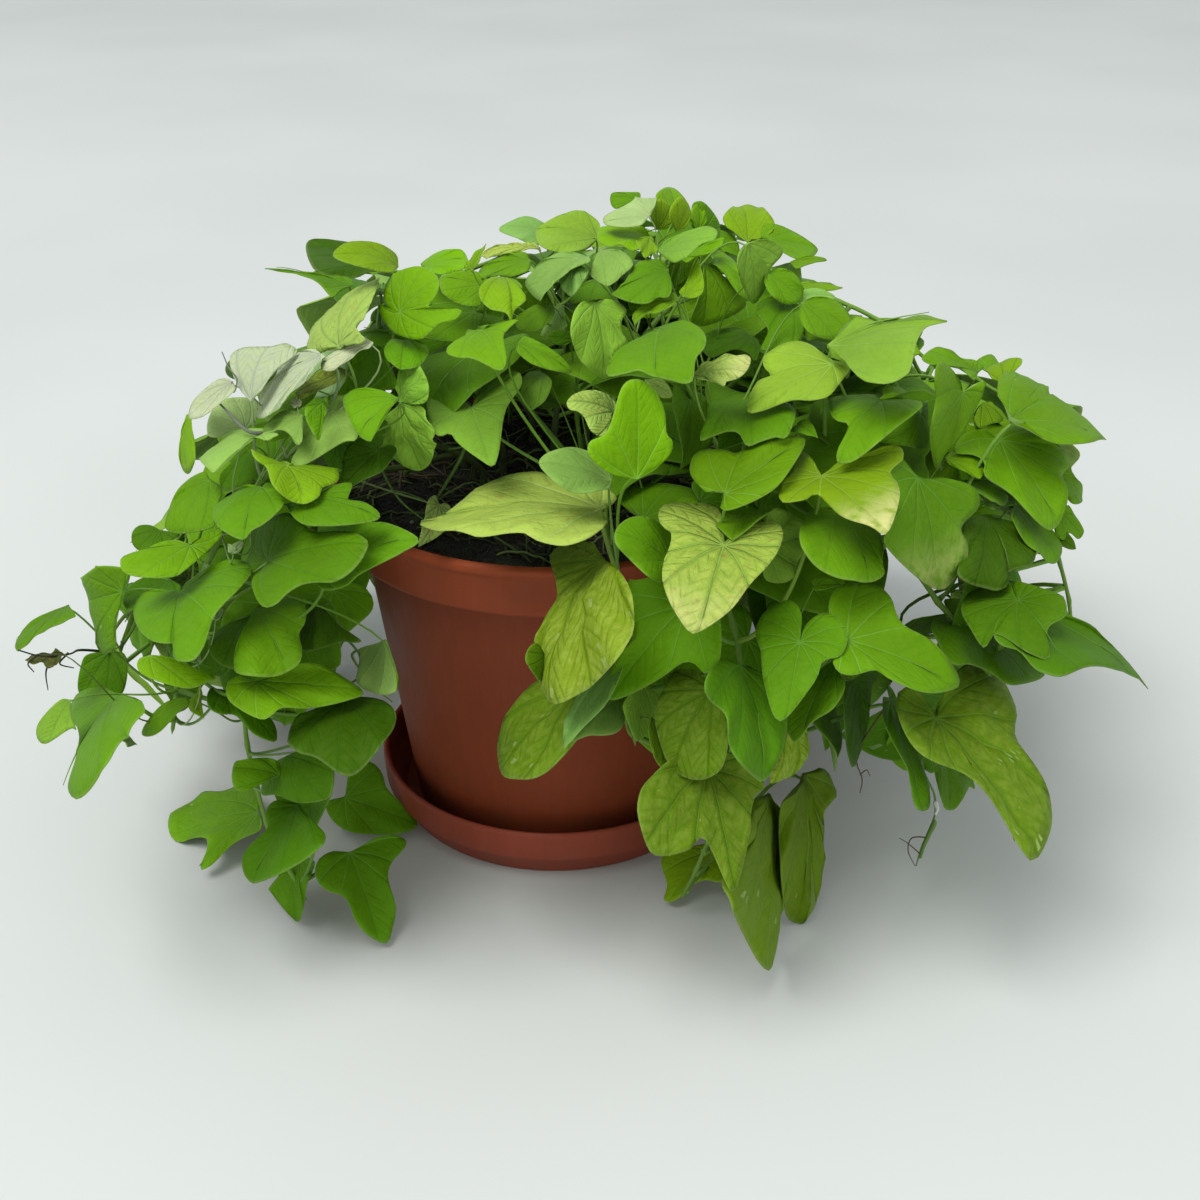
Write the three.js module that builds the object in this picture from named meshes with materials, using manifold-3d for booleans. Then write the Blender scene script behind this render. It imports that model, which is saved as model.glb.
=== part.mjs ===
// A trailing sweet potato vine in a round plastic pot that stands in a saucer.
// Millimetres, +Z up. The origin is on the pot's axis, at the surface that the saucer stands on.
// -Y is the front. Each leaf is one solid with its own stalk, which ends beside the vine that bears it.
import * as THREE from 'three';
import { mergeVertices } from 'three/addons/utils/BufferGeometryUtils.js';
import Module from 'manifold-3d';

const wasm = await Module();
wasm.setup();

// ---- driving dimensions ----
const gap = 0.3; // left between pieces that touch
const roundSides = 48; // facets round the pot and the saucer

const pot = { rim: 150, bandFoot: 146, body: 131.7, base: 103, wall: 3, floor: 4, band: 35.8, height: 247.3, lip: 3 };
const saucer = { rim: 128, wall: 4.3, step: 122, foot: 115, stepHeight: 18, height: 40, floor: 4, bevel: 2 };
const soil = { below: 14, crown: 6, flat: 100 }; // depth of its edge under the lip, rise of its flat middle

const vine = { radius: 2.4, sides: 6, steps: 18, rise: 16 }; // rise: how far it leaves the soil straight up
const blade = { thickness: 2, fold: 0.16 }; // fold is the rise of each half over its width
const stalk = { radius: 1.3, sides: 5, steps: 6, drop: 45 }; // drop: how far under the blade it seeks a vine

// The crown is an ellipsoid of leaves over the pot. Each inner layer of leaves lies layerStep further in.
const crown = { middle: new THREE.Vector3(20, 10, 200), radii: new THREE.Vector3(405, 275, 238) };
const layerStep = 35;
const floorClear = 3.5; // height of the lowest corner of a leaf that lies on the surface

// Front leaves are laid out on a drawing sheet 1200 units square, which shows the plant from an eye point.
// A place on the sheet is a line of sight, and where that meets the crown is the place of the leaf.
const eye = new THREE.Vector3(0, -1040.3, 707.4);
const sheet = { middle: 600, focal: 1200 * 50 / 36, pitch: 0.4916, turn: 0.0302 };

const potFoot = saucer.floor + gap;
const lipTop = potFoot + pot.height;
const bandFoot = lipTop - pot.band;
const soilTop = lipTop - soil.below + soil.crown;

const up = new THREE.Vector3(0, 0, 1);
const plant = new THREE.Group();

const finishes = {
  pot: ['#5f3022', 0.55],
  saucer: ['#7a3a2c', 0.5],
  soil: ['#231a14', 1],
  vine: ['#6f9a3a', 0.6],
  leaf: ['#63a325', 0.5],
};

function addPiece(name, geometry, finish) {
  const [color, roughness] = finishes[finish];
  const mesh = new THREE.Mesh(geometry, new THREE.MeshStandardMaterial({ color, roughness, metalness: 0 }));
  mesh.name = name;
  plant.add(mesh);
}

// ---- pot, saucer and soil ----

// Turns a closed profile of [radius, height] points round the Z axis.
function turned(profile) {
  const points = profile.map(([radius, height]) => new THREE.Vector2(radius, height));
  const geometry = new THREE.LatheGeometry(points, roundSides);
  geometry.rotateX(Math.PI / 2);
  return geometry;
}

// The pot's inner face, less a clearance: tapered up to the ledge over the band's foot, then wider to the lip.
function potInner(clearance = 0) {
  const inset = pot.wall + clearance;
  return {
    foot: [pot.base - inset, potFoot + pot.floor + clearance],
    ledgeInside: [pot.body - inset, bandFoot + pot.wall + clearance],
    ledgeOutside: [pot.bandFoot - inset, bandFoot + pot.wall + clearance],
    lip: [pot.rim - pot.lip - inset, lipTop - pot.lip],
  };
}

function potProfile() {
  const inner = potInner();
  return [
    [0, potFoot], [pot.base, potFoot], [pot.body, bandFoot], [pot.bandFoot, bandFoot],
    [pot.rim, lipTop - pot.lip], [pot.rim - pot.lip / 2, lipTop], [pot.rim - 1.5 * pot.lip, lipTop],
    inner.lip, inner.ledgeOutside, inner.ledgeInside, inner.foot, [0, potFoot + pot.floor],
  ];
}

function saucerProfile() {
  const inside = saucer.rim - saucer.wall;
  const { foot, step, stepHeight, rim, height, bevel, floor } = saucer;
  return [
    [0, 0], [foot, 0], [step, stepHeight - bevel], [rim - 1, stepHeight], [rim, height - bevel],
    [rim - bevel, height], [inside, height - 1], [inside - 3, stepHeight], [foot - 3, floor], [0, floor],
  ];
}

function soilProfile() {
  const inner = potInner(2 * gap);
  return [
    [0, inner.foot[1]], inner.foot, inner.ledgeInside, inner.ledgeOutside,
    [inner.ledgeOutside[0], lipTop - soil.below], [soil.flat, soilTop], [0, soilTop],
  ];
}

addPiece('saucer', turned(saucerProfile()), 'saucer');
addPiece('pot', turned(potProfile()), 'pot');
addPiece('soil', turned(soilProfile()), 'soil');

// ---- vines ----

// A tube with flat ends along a curve.
function tube(curve, { radius, sides, steps }) {
  const corners = Array.from({ length: sides }, (_, side) => {
    const angle = 2 * Math.PI * side / sides;
    return new THREE.Vector2(radius * Math.cos(angle), radius * Math.sin(angle));
  });
  return new THREE.ExtrudeGeometry(new THREE.Shape(corners), { steps, extrudePath: curve, bevelEnabled: false });
}

// Each vine leaves the soil at its root, straight up, and then follows points chosen by hand.
const vineRows = [
  { name: 'vine_right', root: [60, -5],
    route: [[110, -15, 298], [190, -25, 316], [275, -30, 285], [335, -35, 215], [358, -38, 140]] },
  { name: 'vine_right_front', root: [55, -45],
    route: [[108, -84, 280], [180, -135, 276], [240, -170, 225], [275, -185, 150], [288, -190, 75]] },
  { name: 'vine_front_right', root: [28, -62],
    route: [[58, -118, 274], [92, -172, 262], [108, -208, 205], [100, -206, 130], [88, -190, 60], [80, -175, 20]] },
  { name: 'vine_front', root: [16, -30],
    route: [[26, -92, 278], [34, -152, 266], [42, -196, 226], [46, -214, 165]] },
  { name: 'vine_left_front', root: [-55, 5],
    route: [[-105, -18, 262], [-160, -48, 258], [-196, -84, 200], [-203, -115, 120], [-190, -142, 55], [-165, -165, 18]] },
  { name: 'vine_left_over', root: [-48, -18],
    route: [[-98, -58, 300], [-150, -100, 312], [-192, -138, 284], [-222, -160, 222], [-236, -166, 150]] },
  { name: 'vine_left', root: [-62, 28],
    route: [[-118, 10, 286], [-180, -8, 284], [-236, -34, 236], [-280, -62, 176], [-306, -80, 112]] },
  { name: 'vine_left_back', root: [-45, 55],
    route: [[-105, 115, 286], [-175, 160, 275], [-235, 190, 215], [-262, 205, 140], [-270, 210, 70]] },
  { name: 'vine_back_left', root: [-15, 68],
    route: [[-50, 140, 290], [-75, 205, 272], [-90, 240, 210], [-95, 250, 135], [-98, 252, 60]] },
  { name: 'vine_back_right', root: [30, 62],
    route: [[75, 130, 296], [115, 190, 283], [145, 228, 225], [155, 242, 150], [160, 246, 70]] },
  { name: 'vine_right_back', root: [60, 35],
    route: [[120, 80, 300], [195, 115, 298], [265, 145, 245], [305, 160, 170], [318, 165, 95]] },
  { name: 'vine_top_left', root: [-35, 18],
    route: [[-72, 34, 328], [-118, 52, 334], [-162, 62, 312], [-196, 62, 272]] },
  { name: 'vine_top_back', root: [0, 18],
    route: [[6, 32, 345], [-10, 58, 378], [-50, 92, 365], [-95, 128, 330]] },
  { name: 'vine_top_right', root: [36, 12],
    route: [[70, 30, 345], [130, 50, 365], [205, 60, 345], [275, 60, 295]] },
  { name: 'vine_top_front', root: [20, -6],
    route: [[34, -24, 332], [60, -60, 348], [90, -105, 328], [115, -150, 290]] },
];

const vineFoot = soilTop + gap;

const vines = vineRows.map(({ name, root: [x, y], route }) => {
  const points = [[x, y, vineFoot], [x, y, vineFoot + vine.rise], ...route];
  const curve = new THREE.CatmullRomCurve3(points.map((point) => new THREE.Vector3(...point)));
  const knots = curve.getSpacedPoints(vine.steps);
  // A leaf can sit at the middle of each step, past the first two.
  const perches = knots.slice(1).map((knot, i) => ({
    at: knot.clone().add(knots[i]).multiplyScalar(0.5),
    direction: knot.clone().sub(knots[i]).normalize(),
  }));
  return { name, curve, perches: perches.slice(2) };
});

for (const { name, curve } of vines) addPiece(name, tube(curve, vine), 'vine');

// ---- leaves ----

// Outlines of half a leaf, from beside the stalk round the lobe to near the tip, as [along, across].
// Along is in leaf lengths from the stalk, and across in leaf widths from the midrib.
const outlines = {
  heart: { ratio: 1.0, half: [[-0.15, 0.14], [-0.15, 0.34], [0.03, 0.5], [0.3, 0.47], [0.55, 0.31], [0.8, 0.12]] },
  trident: { ratio: 1.1, half: [[-0.14, 0.14], [-0.12, 0.34], [0.08, 0.5], [0.26, 0.42], [0.4, 0.2], [0.7, 0.18]] },
  lance: { ratio: 0.55, half: [[-0.1, 0.15], [-0.06, 0.36], [0.12, 0.5], [0.4, 0.42], [0.7, 0.24]] },
};

// Leaves of the front: the sheet places of the stalk's end, the tip and the widest point of each half.
// layer counts inward from the crown's surface. y puts the stalk's end in that plane instead, and a leaf
// that lies is moved along its lines of sight until it touches the surface.
const frontLeaves = [
  { name: 'leaf_floor_1', base: [258, 812], tip: [200, 869], left: [170, 820], right: [235, 830], lies: true, shape: 'trident' },
  { name: 'leaf_floor_2', base: [350, 852], tip: [387, 943], left: [316, 862], right: [410, 848], lies: true, shape: 'trident' },
  { name: 'leaf_floor_3', base: [770, 795], tip: [768, 971], left: [742, 870], right: [788, 880], lies: true },
  { name: 'leaf_floor_4', base: [712, 850], tip: [665, 902], left: [663, 862], right: [712, 880], layer: 1, lies: true },
  { name: 'leaf_front_1', base: [600, 508], tip: [418, 522], left: [535, 470], right: [550, 547], y: -165 },
  { name: 'leaf_front_2', base: [602, 560], tip: [554, 702], left: [538, 650], right: [633, 620], y: -190 },
  { name: 'leaf_front_3', base: [724, 545], tip: [693, 631], left: [658, 508], right: [783, 530] },
  { name: 'leaf_front_4', base: [685, 605], tip: [610, 699], left: [630, 600], right: [716, 668], layer: 1 },
  { name: 'leaf_front_5', base: [800, 642], tip: [780, 720], left: [756, 632], right: [847, 645] },
  { name: 'leaf_front_6', base: [708, 768], tip: [735, 900], left: [637, 812], right: [752, 800] },
  { name: 'leaf_right_1', base: [936, 718], tip: [1034, 862], left: [903, 738], right: [1010, 683] },
  { name: 'leaf_right_2', base: [1020, 608], tip: [1146, 680], left: [1058, 594], right: [1042, 674] },
  { name: 'leaf_right_3', base: [1010, 421], tip: [1112, 433], left: [1012, 362], right: [1045, 442] },
  { name: 'leaf_right_4', base: [1000, 440], tip: [1052, 530], left: [1070, 460], right: [984, 477], layer: 1 },
  { name: 'leaf_right_5', base: [918, 478], tip: [941, 589], left: [980, 500], right: [884, 535], shape: 'trident' },
  { name: 'leaf_right_6', base: [828, 345], tip: [945, 312], left: [855, 317], right: [868, 380] },
  { name: 'leaf_right_7', base: [835, 305], tip: [805, 338], left: [800, 312], right: [850, 325], layer: 1 },
  { name: 'leaf_left_1', base: [68, 605], tip: [16, 645], left: [30, 618], right: [50, 628], shape: 'lance' },
  { name: 'leaf_left_2', base: [118, 695], tip: [75, 797], left: [68, 715], right: [148, 697], shape: 'trident' },
  { name: 'leaf_left_3', base: [268, 560], tip: [367, 545], left: [290, 520], right: [258, 605] },
  { name: 'leaf_left_4', base: [288, 466], tip: [303, 503], left: [253, 441], right: [338, 478] },
  { name: 'leaf_left_5', base: [250, 400], tip: [296, 350], left: [233, 362], right: [288, 388] },
  { name: 'leaf_left_6', base: [345, 700], tip: [350, 775], left: [283, 730], right: [396, 722], layer: 1 },
  { name: 'leaf_top_1', base: [395, 262], tip: [307, 245], left: [345, 241], right: [345, 277], layer: 1 },
  { name: 'leaf_top_2', base: [338, 346], tip: [378, 273], left: [309, 338], right: [366, 330] },
  { name: 'leaf_top_3', base: [472, 407], tip: [493, 466], left: [428, 398], right: [521, 372], y: -120, shape: 'trident' },
  { name: 'leaf_top_4', base: [578, 258], tip: [538, 300], left: [538, 262], right: [556, 283] },
  { name: 'leaf_top_5', base: [660, 328], tip: [655, 378], left: [607, 370], right: [706, 338] },
  { name: 'leaf_top_6', base: [658, 251], tip: [717, 230], left: [690, 224], right: [690, 257] },
  { name: 'leaf_top_7', base: [748, 244], tip: [753, 303], left: [737, 275], right: [782, 250] },
];

// Leaves of the back and sides: compass angle from +X and height on the crown's surface, length, and layers
// further in. They point down the crown, and turn swings the tip round.
const backLeaves = [
  { name: 'leaf_back_1', angle: 12, height: 310, length: 78, turn: 20, layer: 1.5 },
  { name: 'leaf_back_2', angle: 42, height: 345, length: 70, turn: -15, layer: 1.5 },
  { name: 'leaf_back_3', angle: 32, height: 215, length: 88, turn: 10 },
  { name: 'leaf_back_4', angle: 62, height: 265, length: 84, turn: -20 },
  { name: 'leaf_back_5', angle: 88, height: 350, length: 72, turn: 15 },
  { name: 'leaf_back_6', angle: 92, height: 225, length: 90, turn: 0 },
  { name: 'leaf_back_7', angle: 118, height: 300, length: 80, turn: 18 },
  { name: 'leaf_back_8', angle: 128, height: 190, length: 86, turn: -12 },
  { name: 'leaf_back_9', angle: 139, height: 330, length: 74, turn: 8, layer: 2 },
  { name: 'leaf_back_10', angle: 142, height: 245, length: 85, turn: -18, layer: 2 },
  { name: 'leaf_back_11', angle: 178, height: 285, length: 76, turn: 12, layer: 4 },
  { name: 'leaf_back_12', angle: 62, height: 150, length: 82, turn: 14 },
];

const ahead = new THREE.Vector3(0, Math.cos(sheet.pitch), -Math.sin(sheet.pitch)).applyAxisAngle(up, -sheet.turn);
const sheetUp = new THREE.Vector3(0, Math.sin(sheet.pitch), Math.cos(sheet.pitch)).applyAxisAngle(up, -sheet.turn);
const sheetRight = new THREE.Vector3(1, 0, 0).applyAxisAngle(up, -sheet.turn);

// A step on the sheet and away from the eye, in space.
function inSpace(flat, deep) {
  return ahead.clone().multiplyScalar(deep).addScaledVector(sheetRight, flat.x).addScaledVector(sheetUp, flat.y);
}

// The line of sight through a place on the sheet, one unit deep.
function sightOf([x, y]) {
  return inSpace(new THREE.Vector2(x - sheet.middle, sheet.middle - y).divideScalar(sheet.focal), 1);
}

// The depth where a line of sight meets a layer of the crown, or comes nearest to it.
function crownDepth(sight, layer) {
  const radii = crown.radii.clone().subScalar(layer * layerStep);
  const start = eye.clone().sub(crown.middle).divide(radii);
  const step = sight.clone().divide(radii);
  const nearest = -start.dot(step) / step.lengthSq();
  const reach = nearest ** 2 - (start.lengthSq() - 1) / step.lengthSq();
  return nearest - Math.sqrt(Math.max(reach, 0));
}

// A blade's width is at right angles to its length, and a known share of it. So the sheet shows how far both
// turn away from it: two answers, of which the one that faces up and out and drips outward is taken.
function placeFromSheet({ base, tip, left, right, layer = 0, y, shape = 'heart', lies }) {
  const sight = sightOf(base);
  const depth = y === undefined ? crownDepth(sight, layer) : (y - eye.y) / sight.y;
  const scale = depth / sheet.focal;
  const { ratio } = outlines[shape];
  const length = new THREE.Vector2(tip[0] - base[0], base[1] - tip[1]).multiplyScalar(scale);
  const width = new THREE.Vector2(right[0] - left[0], left[1] - right[1]).multiplyScalar(scale);
  const spare = ratio ** 2 * length.lengthSq() - width.lengthSq();
  const skew = length.dot(width);
  const lengthDeep = Math.sqrt((Math.hypot(spare, 2 * ratio * skew) - spare) / 2) / ratio;
  const widthDeep = lengthDeep > 1 ? -skew / lengthDeep : Math.sqrt(Math.max(spare, 0));
  const at = eye.clone().addScaledVector(sight, depth);
  const out = at.clone().setZ(0).normalize();
  const answers = [1, -1].map((sign) => {
    const along = inSpace(length, sign * lengthDeep);
    const across = inSpace(width, sign * widthDeep);
    const face = across.clone().cross(along).normalize();
    if (face.dot(ahead) > 0) face.negate();
    const drip = along.clone().normalize();
    const score = 0.7 * face.dot(up) + 0.5 * face.dot(out) + 0.25 * drip.dot(out) - 0.15 * drip.dot(up);
    return { at, along, face, width: across.length(), shape, score };
  });
  const leaf = answers[0].score > answers[1].score ? answers[0] : answers[1];
  return settle(leaf, lies);
}

// Moves a leaf along its lines of sight until its lowest corner is clear of the surface.
function settle(leaf, lies) {
  const lowest = Math.min(...bladeRing(leaf).map((point) => point.z)) - blade.thickness;
  if (!lies && lowest >= floorClear) return leaf;
  const share = (eye.z - floorClear) / (eye.z - lowest);
  leaf.at.sub(eye).multiplyScalar(share).add(eye);
  leaf.along.multiplyScalar(share);
  leaf.width *= share;
  return leaf;
}

// A leaf on a layer of the crown that points down it, with its face a little more upward than the crown's.
function placeOnCrown({ angle, height, length, turn, layer = 0, shape = 'heart' }) {
  const compass = THREE.MathUtils.degToRad(angle);
  const lift = (height - crown.middle.z) / crown.radii.z;
  const level = Math.sqrt(1 - lift ** 2);
  const out = new THREE.Vector3(Math.cos(compass) * level, Math.sin(compass) * level, lift);
  const radii = crown.radii.clone().subScalar(layer * layerStep);
  const at = out.clone().multiply(radii).add(crown.middle);
  const face = out.clone().divide(radii).normalize().lerp(up, 0.3).normalize();
  const down = up.clone().negate().projectOnPlane(face).normalize();
  const along = down.applyAxisAngle(face, THREE.MathUtils.degToRad(turn)).multiplyScalar(length);
  return { at, along, face, width: length * outlines[shape].ratio, shape };
}

// The ring of a blade's outline on its upper face: the stalk's end, round one half, the tip, the other half.
function bladeRing({ at, along, face, width, shape }) {
  const side = face.clone().cross(along).normalize();
  const spot = ([u, v], sign) => at.clone()
    .addScaledVector(along, u)
    .addScaledVector(side, sign * v * width)
    .addScaledVector(face, blade.fold * v * width);
  const { half } = outlines[shape];
  return [at.clone(), ...half.map((p) => spot(p, 1)), spot([1, 0], 1), ...half.map((p) => spot(p, -1)).reverse()];
}

// A thin closed plate between the outline's ring and the same ring one thickness lower.
function bladeSolid(leaf) {
  const ring = bladeRing(leaf);
  const count = ring.length;
  const lower = ring.map((point) => point.clone().addScaledVector(leaf.face, -blade.thickness));
  const index = [];
  for (let i = 1; i < count - 1; i++) index.push(0, i + 1, i, count, count + i, count + i + 1);
  for (let i = 0; i < count; i++) {
    const next = (i + 1) % count;
    index.push(count + next, count + i, i, count + next, i, next);
  }
  const geometry = new THREE.BufferGeometry().setFromPoints([...ring, ...lower]);
  geometry.setIndex(index);
  return geometry;
}

// The perch that is nearest to a place a little below the blade.
function perchFor(leaf) {
  const seek = leaf.at.clone().addScaledVector(leaf.face, -0.7 * stalk.drop).addScaledVector(up, -0.3 * stalk.drop);
  const perches = vines.flatMap((one) => one.perches);
  return perches.reduce((best, one) => (one.at.distanceTo(seek) < best.at.distanceTo(seek) ? one : best));
}

// The stalk leaves its vine at right angles and bends up into the blade.
function stalkSolid(leaf) {
  const perch = perchFor(leaf);
  const end = leaf.at.clone().addScaledVector(leaf.along, 0.05).addScaledVector(leaf.face, -blade.thickness / 2);
  const span = end.distanceTo(perch.at);
  const out = end.clone().sub(perch.at).projectOnPlane(perch.direction).normalize();
  const start = perch.at.clone().addScaledVector(out, vine.radius + gap);
  const backward = leaf.along.clone().normalize().multiplyScalar(-0.12 * span);
  const curve = new THREE.CubicBezierCurve3(
    start,
    start.clone().addScaledVector(out, 0.35 * span),
    end.clone().addScaledVector(leaf.face, -0.3 * span).add(backward),
    end,
  );
  return tube(curve, stalk);
}

function toManifold(geometry) {
  const bare = geometry.clone();
  bare.deleteAttribute('normal');
  bare.deleteAttribute('uv');
  const merged = mergeVertices(bare);
  const triVerts = new Uint32Array(merged.index.array);
  return new wasm.Manifold(new wasm.Mesh({ numProp: 3, vertProperties: merged.attributes.position.array, triVerts }));
}

function toGeometry(solid) {
  const { vertProperties, triVerts } = solid.getMesh();
  const geometry = new THREE.BufferGeometry();
  geometry.setAttribute('position', new THREE.BufferAttribute(vertProperties, 3));
  geometry.setIndex(new THREE.BufferAttribute(triVerts, 1));
  geometry.computeVertexNormals();
  return geometry;
}

const placed = [
  ...frontLeaves.map((row) => ({ name: row.name, leaf: placeFromSheet(row) })),
  ...backLeaves.map((row) => ({ name: row.name, leaf: placeOnCrown(row) })),
];
for (const { name, leaf } of placed) {
  addPiece(name, toGeometry(toManifold(bladeSolid(leaf)).add(toManifold(stalkSolid(leaf)))), 'leaf');
}

export default plant;
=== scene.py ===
from math import hypot, pi, sqrt

import bpy
import numpy as np
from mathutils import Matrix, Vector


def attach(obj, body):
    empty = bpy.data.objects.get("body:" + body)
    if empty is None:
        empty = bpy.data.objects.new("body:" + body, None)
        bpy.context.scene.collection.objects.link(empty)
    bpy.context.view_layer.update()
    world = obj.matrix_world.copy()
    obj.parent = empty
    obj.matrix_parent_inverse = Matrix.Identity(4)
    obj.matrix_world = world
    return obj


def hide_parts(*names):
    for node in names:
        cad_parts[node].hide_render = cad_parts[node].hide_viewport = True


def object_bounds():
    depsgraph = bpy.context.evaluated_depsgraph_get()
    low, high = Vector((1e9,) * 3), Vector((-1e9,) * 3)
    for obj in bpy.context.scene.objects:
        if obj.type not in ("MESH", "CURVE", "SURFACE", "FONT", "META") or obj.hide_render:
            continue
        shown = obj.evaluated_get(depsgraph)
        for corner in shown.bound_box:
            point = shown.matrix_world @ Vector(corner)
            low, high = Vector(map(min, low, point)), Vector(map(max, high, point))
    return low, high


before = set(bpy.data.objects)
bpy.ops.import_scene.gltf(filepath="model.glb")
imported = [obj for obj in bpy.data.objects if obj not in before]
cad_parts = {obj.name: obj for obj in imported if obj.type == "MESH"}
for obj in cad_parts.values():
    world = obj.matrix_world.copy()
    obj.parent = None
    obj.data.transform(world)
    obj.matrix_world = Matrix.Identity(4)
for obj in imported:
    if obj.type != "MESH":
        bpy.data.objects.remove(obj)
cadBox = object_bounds()
scene = bpy.context.scene

# The drawing sheet is 1200 units square. The camera shows it whole, and front leaves are laid out on it.
lens = {"focal": 50, "film": 36}
sheet = {"middle": 600, "focal": 1200 * lens["focal"] / lens["film"], "pitch": 0.4916, "turn": 0.0302}
eye = np.array([0, -1.0403, 0.7074])

cameraData = bpy.data.cameras.new("camera")
cameraData.lens = lens["focal"]
cameraData.sensor_width = lens["film"]
camera = bpy.data.objects.new("camera", cameraData)
camera.location = eye
camera.rotation_euler = (pi / 2 - sheet["pitch"], 0, -sheet["turn"])
scene.collection.objects.link(camera)
scene.camera = camera
print("camera ready")

# A part holds points, a tint and a wear value for each point, and sheets of faces. A sheet is its faces'
# point numbers, a flat map place for each of them, a material number, and whether it is shaded smooth.


def unit(vector):
    return vector / np.linalg.norm(vector, axis=-1, keepdims=True)


def ease(value, low, high):
    share = np.clip((value - low) / (high - low), 0, 1)
    return share * share * (3 - 2 * share)


# Quads between neighbours in a grid of rows by columns, with map places from 0 to 1 along both.
def gridFaces(rows, columns, wrapped=False):
    spans = columns if wrapped else columns - 1
    row, column = np.meshgrid(np.arange(rows - 1), np.arange(spans), indexing="ij")
    rowOf = np.stack([row, row, row + 1, row + 1], -1).reshape(-1, 4)
    columnOf = np.stack([column, column + 1, column + 1, column], -1).reshape(-1, 4)
    places = np.stack([columnOf / spans, rowOf / (rows - 1)], -1)
    return rowOf * columns + columnOf % columns, places


# Rings of points, closed by a point in the middle of the first ring and of the last.
def closedRings(rings, tint=(1, 1, 1), material=0, mapSize=(1, 1)):
    rows, columns = rings.shape[:2]
    quads, places = gridFaces(rows, columns, True)
    now, after = np.arange(columns), (np.arange(columns) + 1) % columns
    first, last = rows * columns, rows * columns + 1
    base = (rows - 1) * columns
    startFan = np.stack([np.full(columns, first), after, now], -1)
    endFan = np.stack([np.full(columns, last), base + now, base + after], -1)
    points = np.vstack([rings.reshape(-1, 3), rings[0].mean(0), rings[-1].mean(0)])
    fanPlaces = np.stack([now + 0.5, now + 1, now], -1) / columns
    startPlaces = np.stack([fanPlaces, fanPlaces * 0], -1)
    endPlaces = np.stack([fanPlaces[:, [0, 2, 1]], fanPlaces * 0 + 1], -1)
    size = np.array(mapSize)
    return {
        "points": points,
        "tint": np.broadcast_to(tint, (len(points), 3)),
        "wear": np.zeros((len(points), 4)),
        "sheets": [
            (quads, places * size, material, True),
            (startFan, startPlaces * size, material, True),
            (endFan, endPlaces * size, material, True),
        ],
    }


# Directions square to a path, each the one before it turned as little as the path allows.
def carriedAlong(tangent):
    start = np.cross(tangent[0], np.eye(3)[np.argmin(np.abs(tangent[0]))])
    across = [unit(start)]
    for direction in tangent[1:]:
        across.append(unit(across[-1] - direction * (across[-1] @ direction)))
    return np.array(across)


# A tube: a ring of sides round each point of a path, square to it.
def tubePart(path, radii, sides, **look):
    tangent = unit(np.gradient(path, axis=0))
    across = carriedAlong(tangent)
    beside = np.cross(tangent, across)
    angle = 2 * pi * np.arange(sides)[None, :, None] / sides
    around = np.cos(angle) * across[:, None] + np.sin(angle) * beside[:, None]
    rings = path[:, None] + np.reshape(radii, (-1, 1, 1)) * around
    return closedRings(rings, **look)


# A profile of (radius, height) points turned round the Z axis.
def turnedRings(profile, around):
    radius, height = np.asarray(profile, float).T
    angle = 2 * pi * np.arange(around) / around
    spin = np.stack([np.cos(angle), np.sin(angle)], -1)
    rings = radius[:, None, None] * spin[None]
    return np.concatenate([rings, np.broadcast_to(height[:, None, None], (*rings.shape[:2], 1))], -1)


# Spaces points evenly along a line of points.
def spaced(path, count):
    travelled = np.concatenate([[0], np.cumsum(np.linalg.norm(np.diff(path, axis=0), axis=1))])
    stops = np.linspace(0, travelled[-1], count)
    return np.stack([np.interp(stops, travelled, axis) for axis in path.T], -1)


# A centripetal Catmull-Rom curve: a cubic between each pair of points, whose slopes at its ends come from
# the neighbours, each weighed by the square root of its distance.
def smoothThrough(points, count, fineness=40):
    points = np.asarray(points, float)
    p = np.vstack([2 * points[0] - points[1], points, 2 * points[-1] - points[-2]])
    gap = np.sqrt(np.linalg.norm(np.diff(p, axis=0), axis=1))[:, None]
    before, span, beyond = gap[:-2], gap[1:-1], gap[2:]
    p0, p1, p2, p3 = p[:-3], p[1:-2], p[2:-1], p[3:]
    leave = ((p1 - p0) / before - (p2 - p0) / (before + span) + (p2 - p1) / span) * span
    reach = ((p2 - p1) / span - (p3 - p1) / (span + beyond) + (p3 - p2) / beyond) * span
    t = np.linspace(0, 1, fineness, endpoint=False)[None, :, None]
    p1, p2, leave, reach = (a[:, None] for a in (p1, p2, leave, reach))
    cubic = p1 + leave * t + (3 * p2 - 3 * p1 - 2 * leave - reach) * t**2
    cubic = cubic + (2 * p1 - 2 * p2 + leave + reach) * t**3
    return spaced(np.vstack([cubic.reshape(-1, points.shape[1]), points[-1]]), count)


# Rounds each inner corner of a profile with a quadratic curve between points one radius before and after.
def rounded(profile, radius, steps=5):
    p = np.asarray(profile, float)
    before, corner, after = p[:-2], p[1:-1], p[2:]
    back, ahead = np.linalg.norm(before - corner, axis=1), np.linalg.norm(after - corner, axis=1)
    cut = np.minimum(radius, 0.45 * np.minimum(back, ahead))[:, None]
    start = corner + (before - corner) / back[:, None] * cut
    end = corner + (after - corner) / ahead[:, None] * cut
    t = np.linspace(0, 1, steps)[None, :, None]
    start, corner, end = start[:, None], corner[:, None], end[:, None]
    arcs = start * (1 - t) ** 2 + 2 * corner * t * (1 - t) + end * t**2
    return np.vstack([p[:1], arcs.reshape(-1, 2), p[-1:]])


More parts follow.
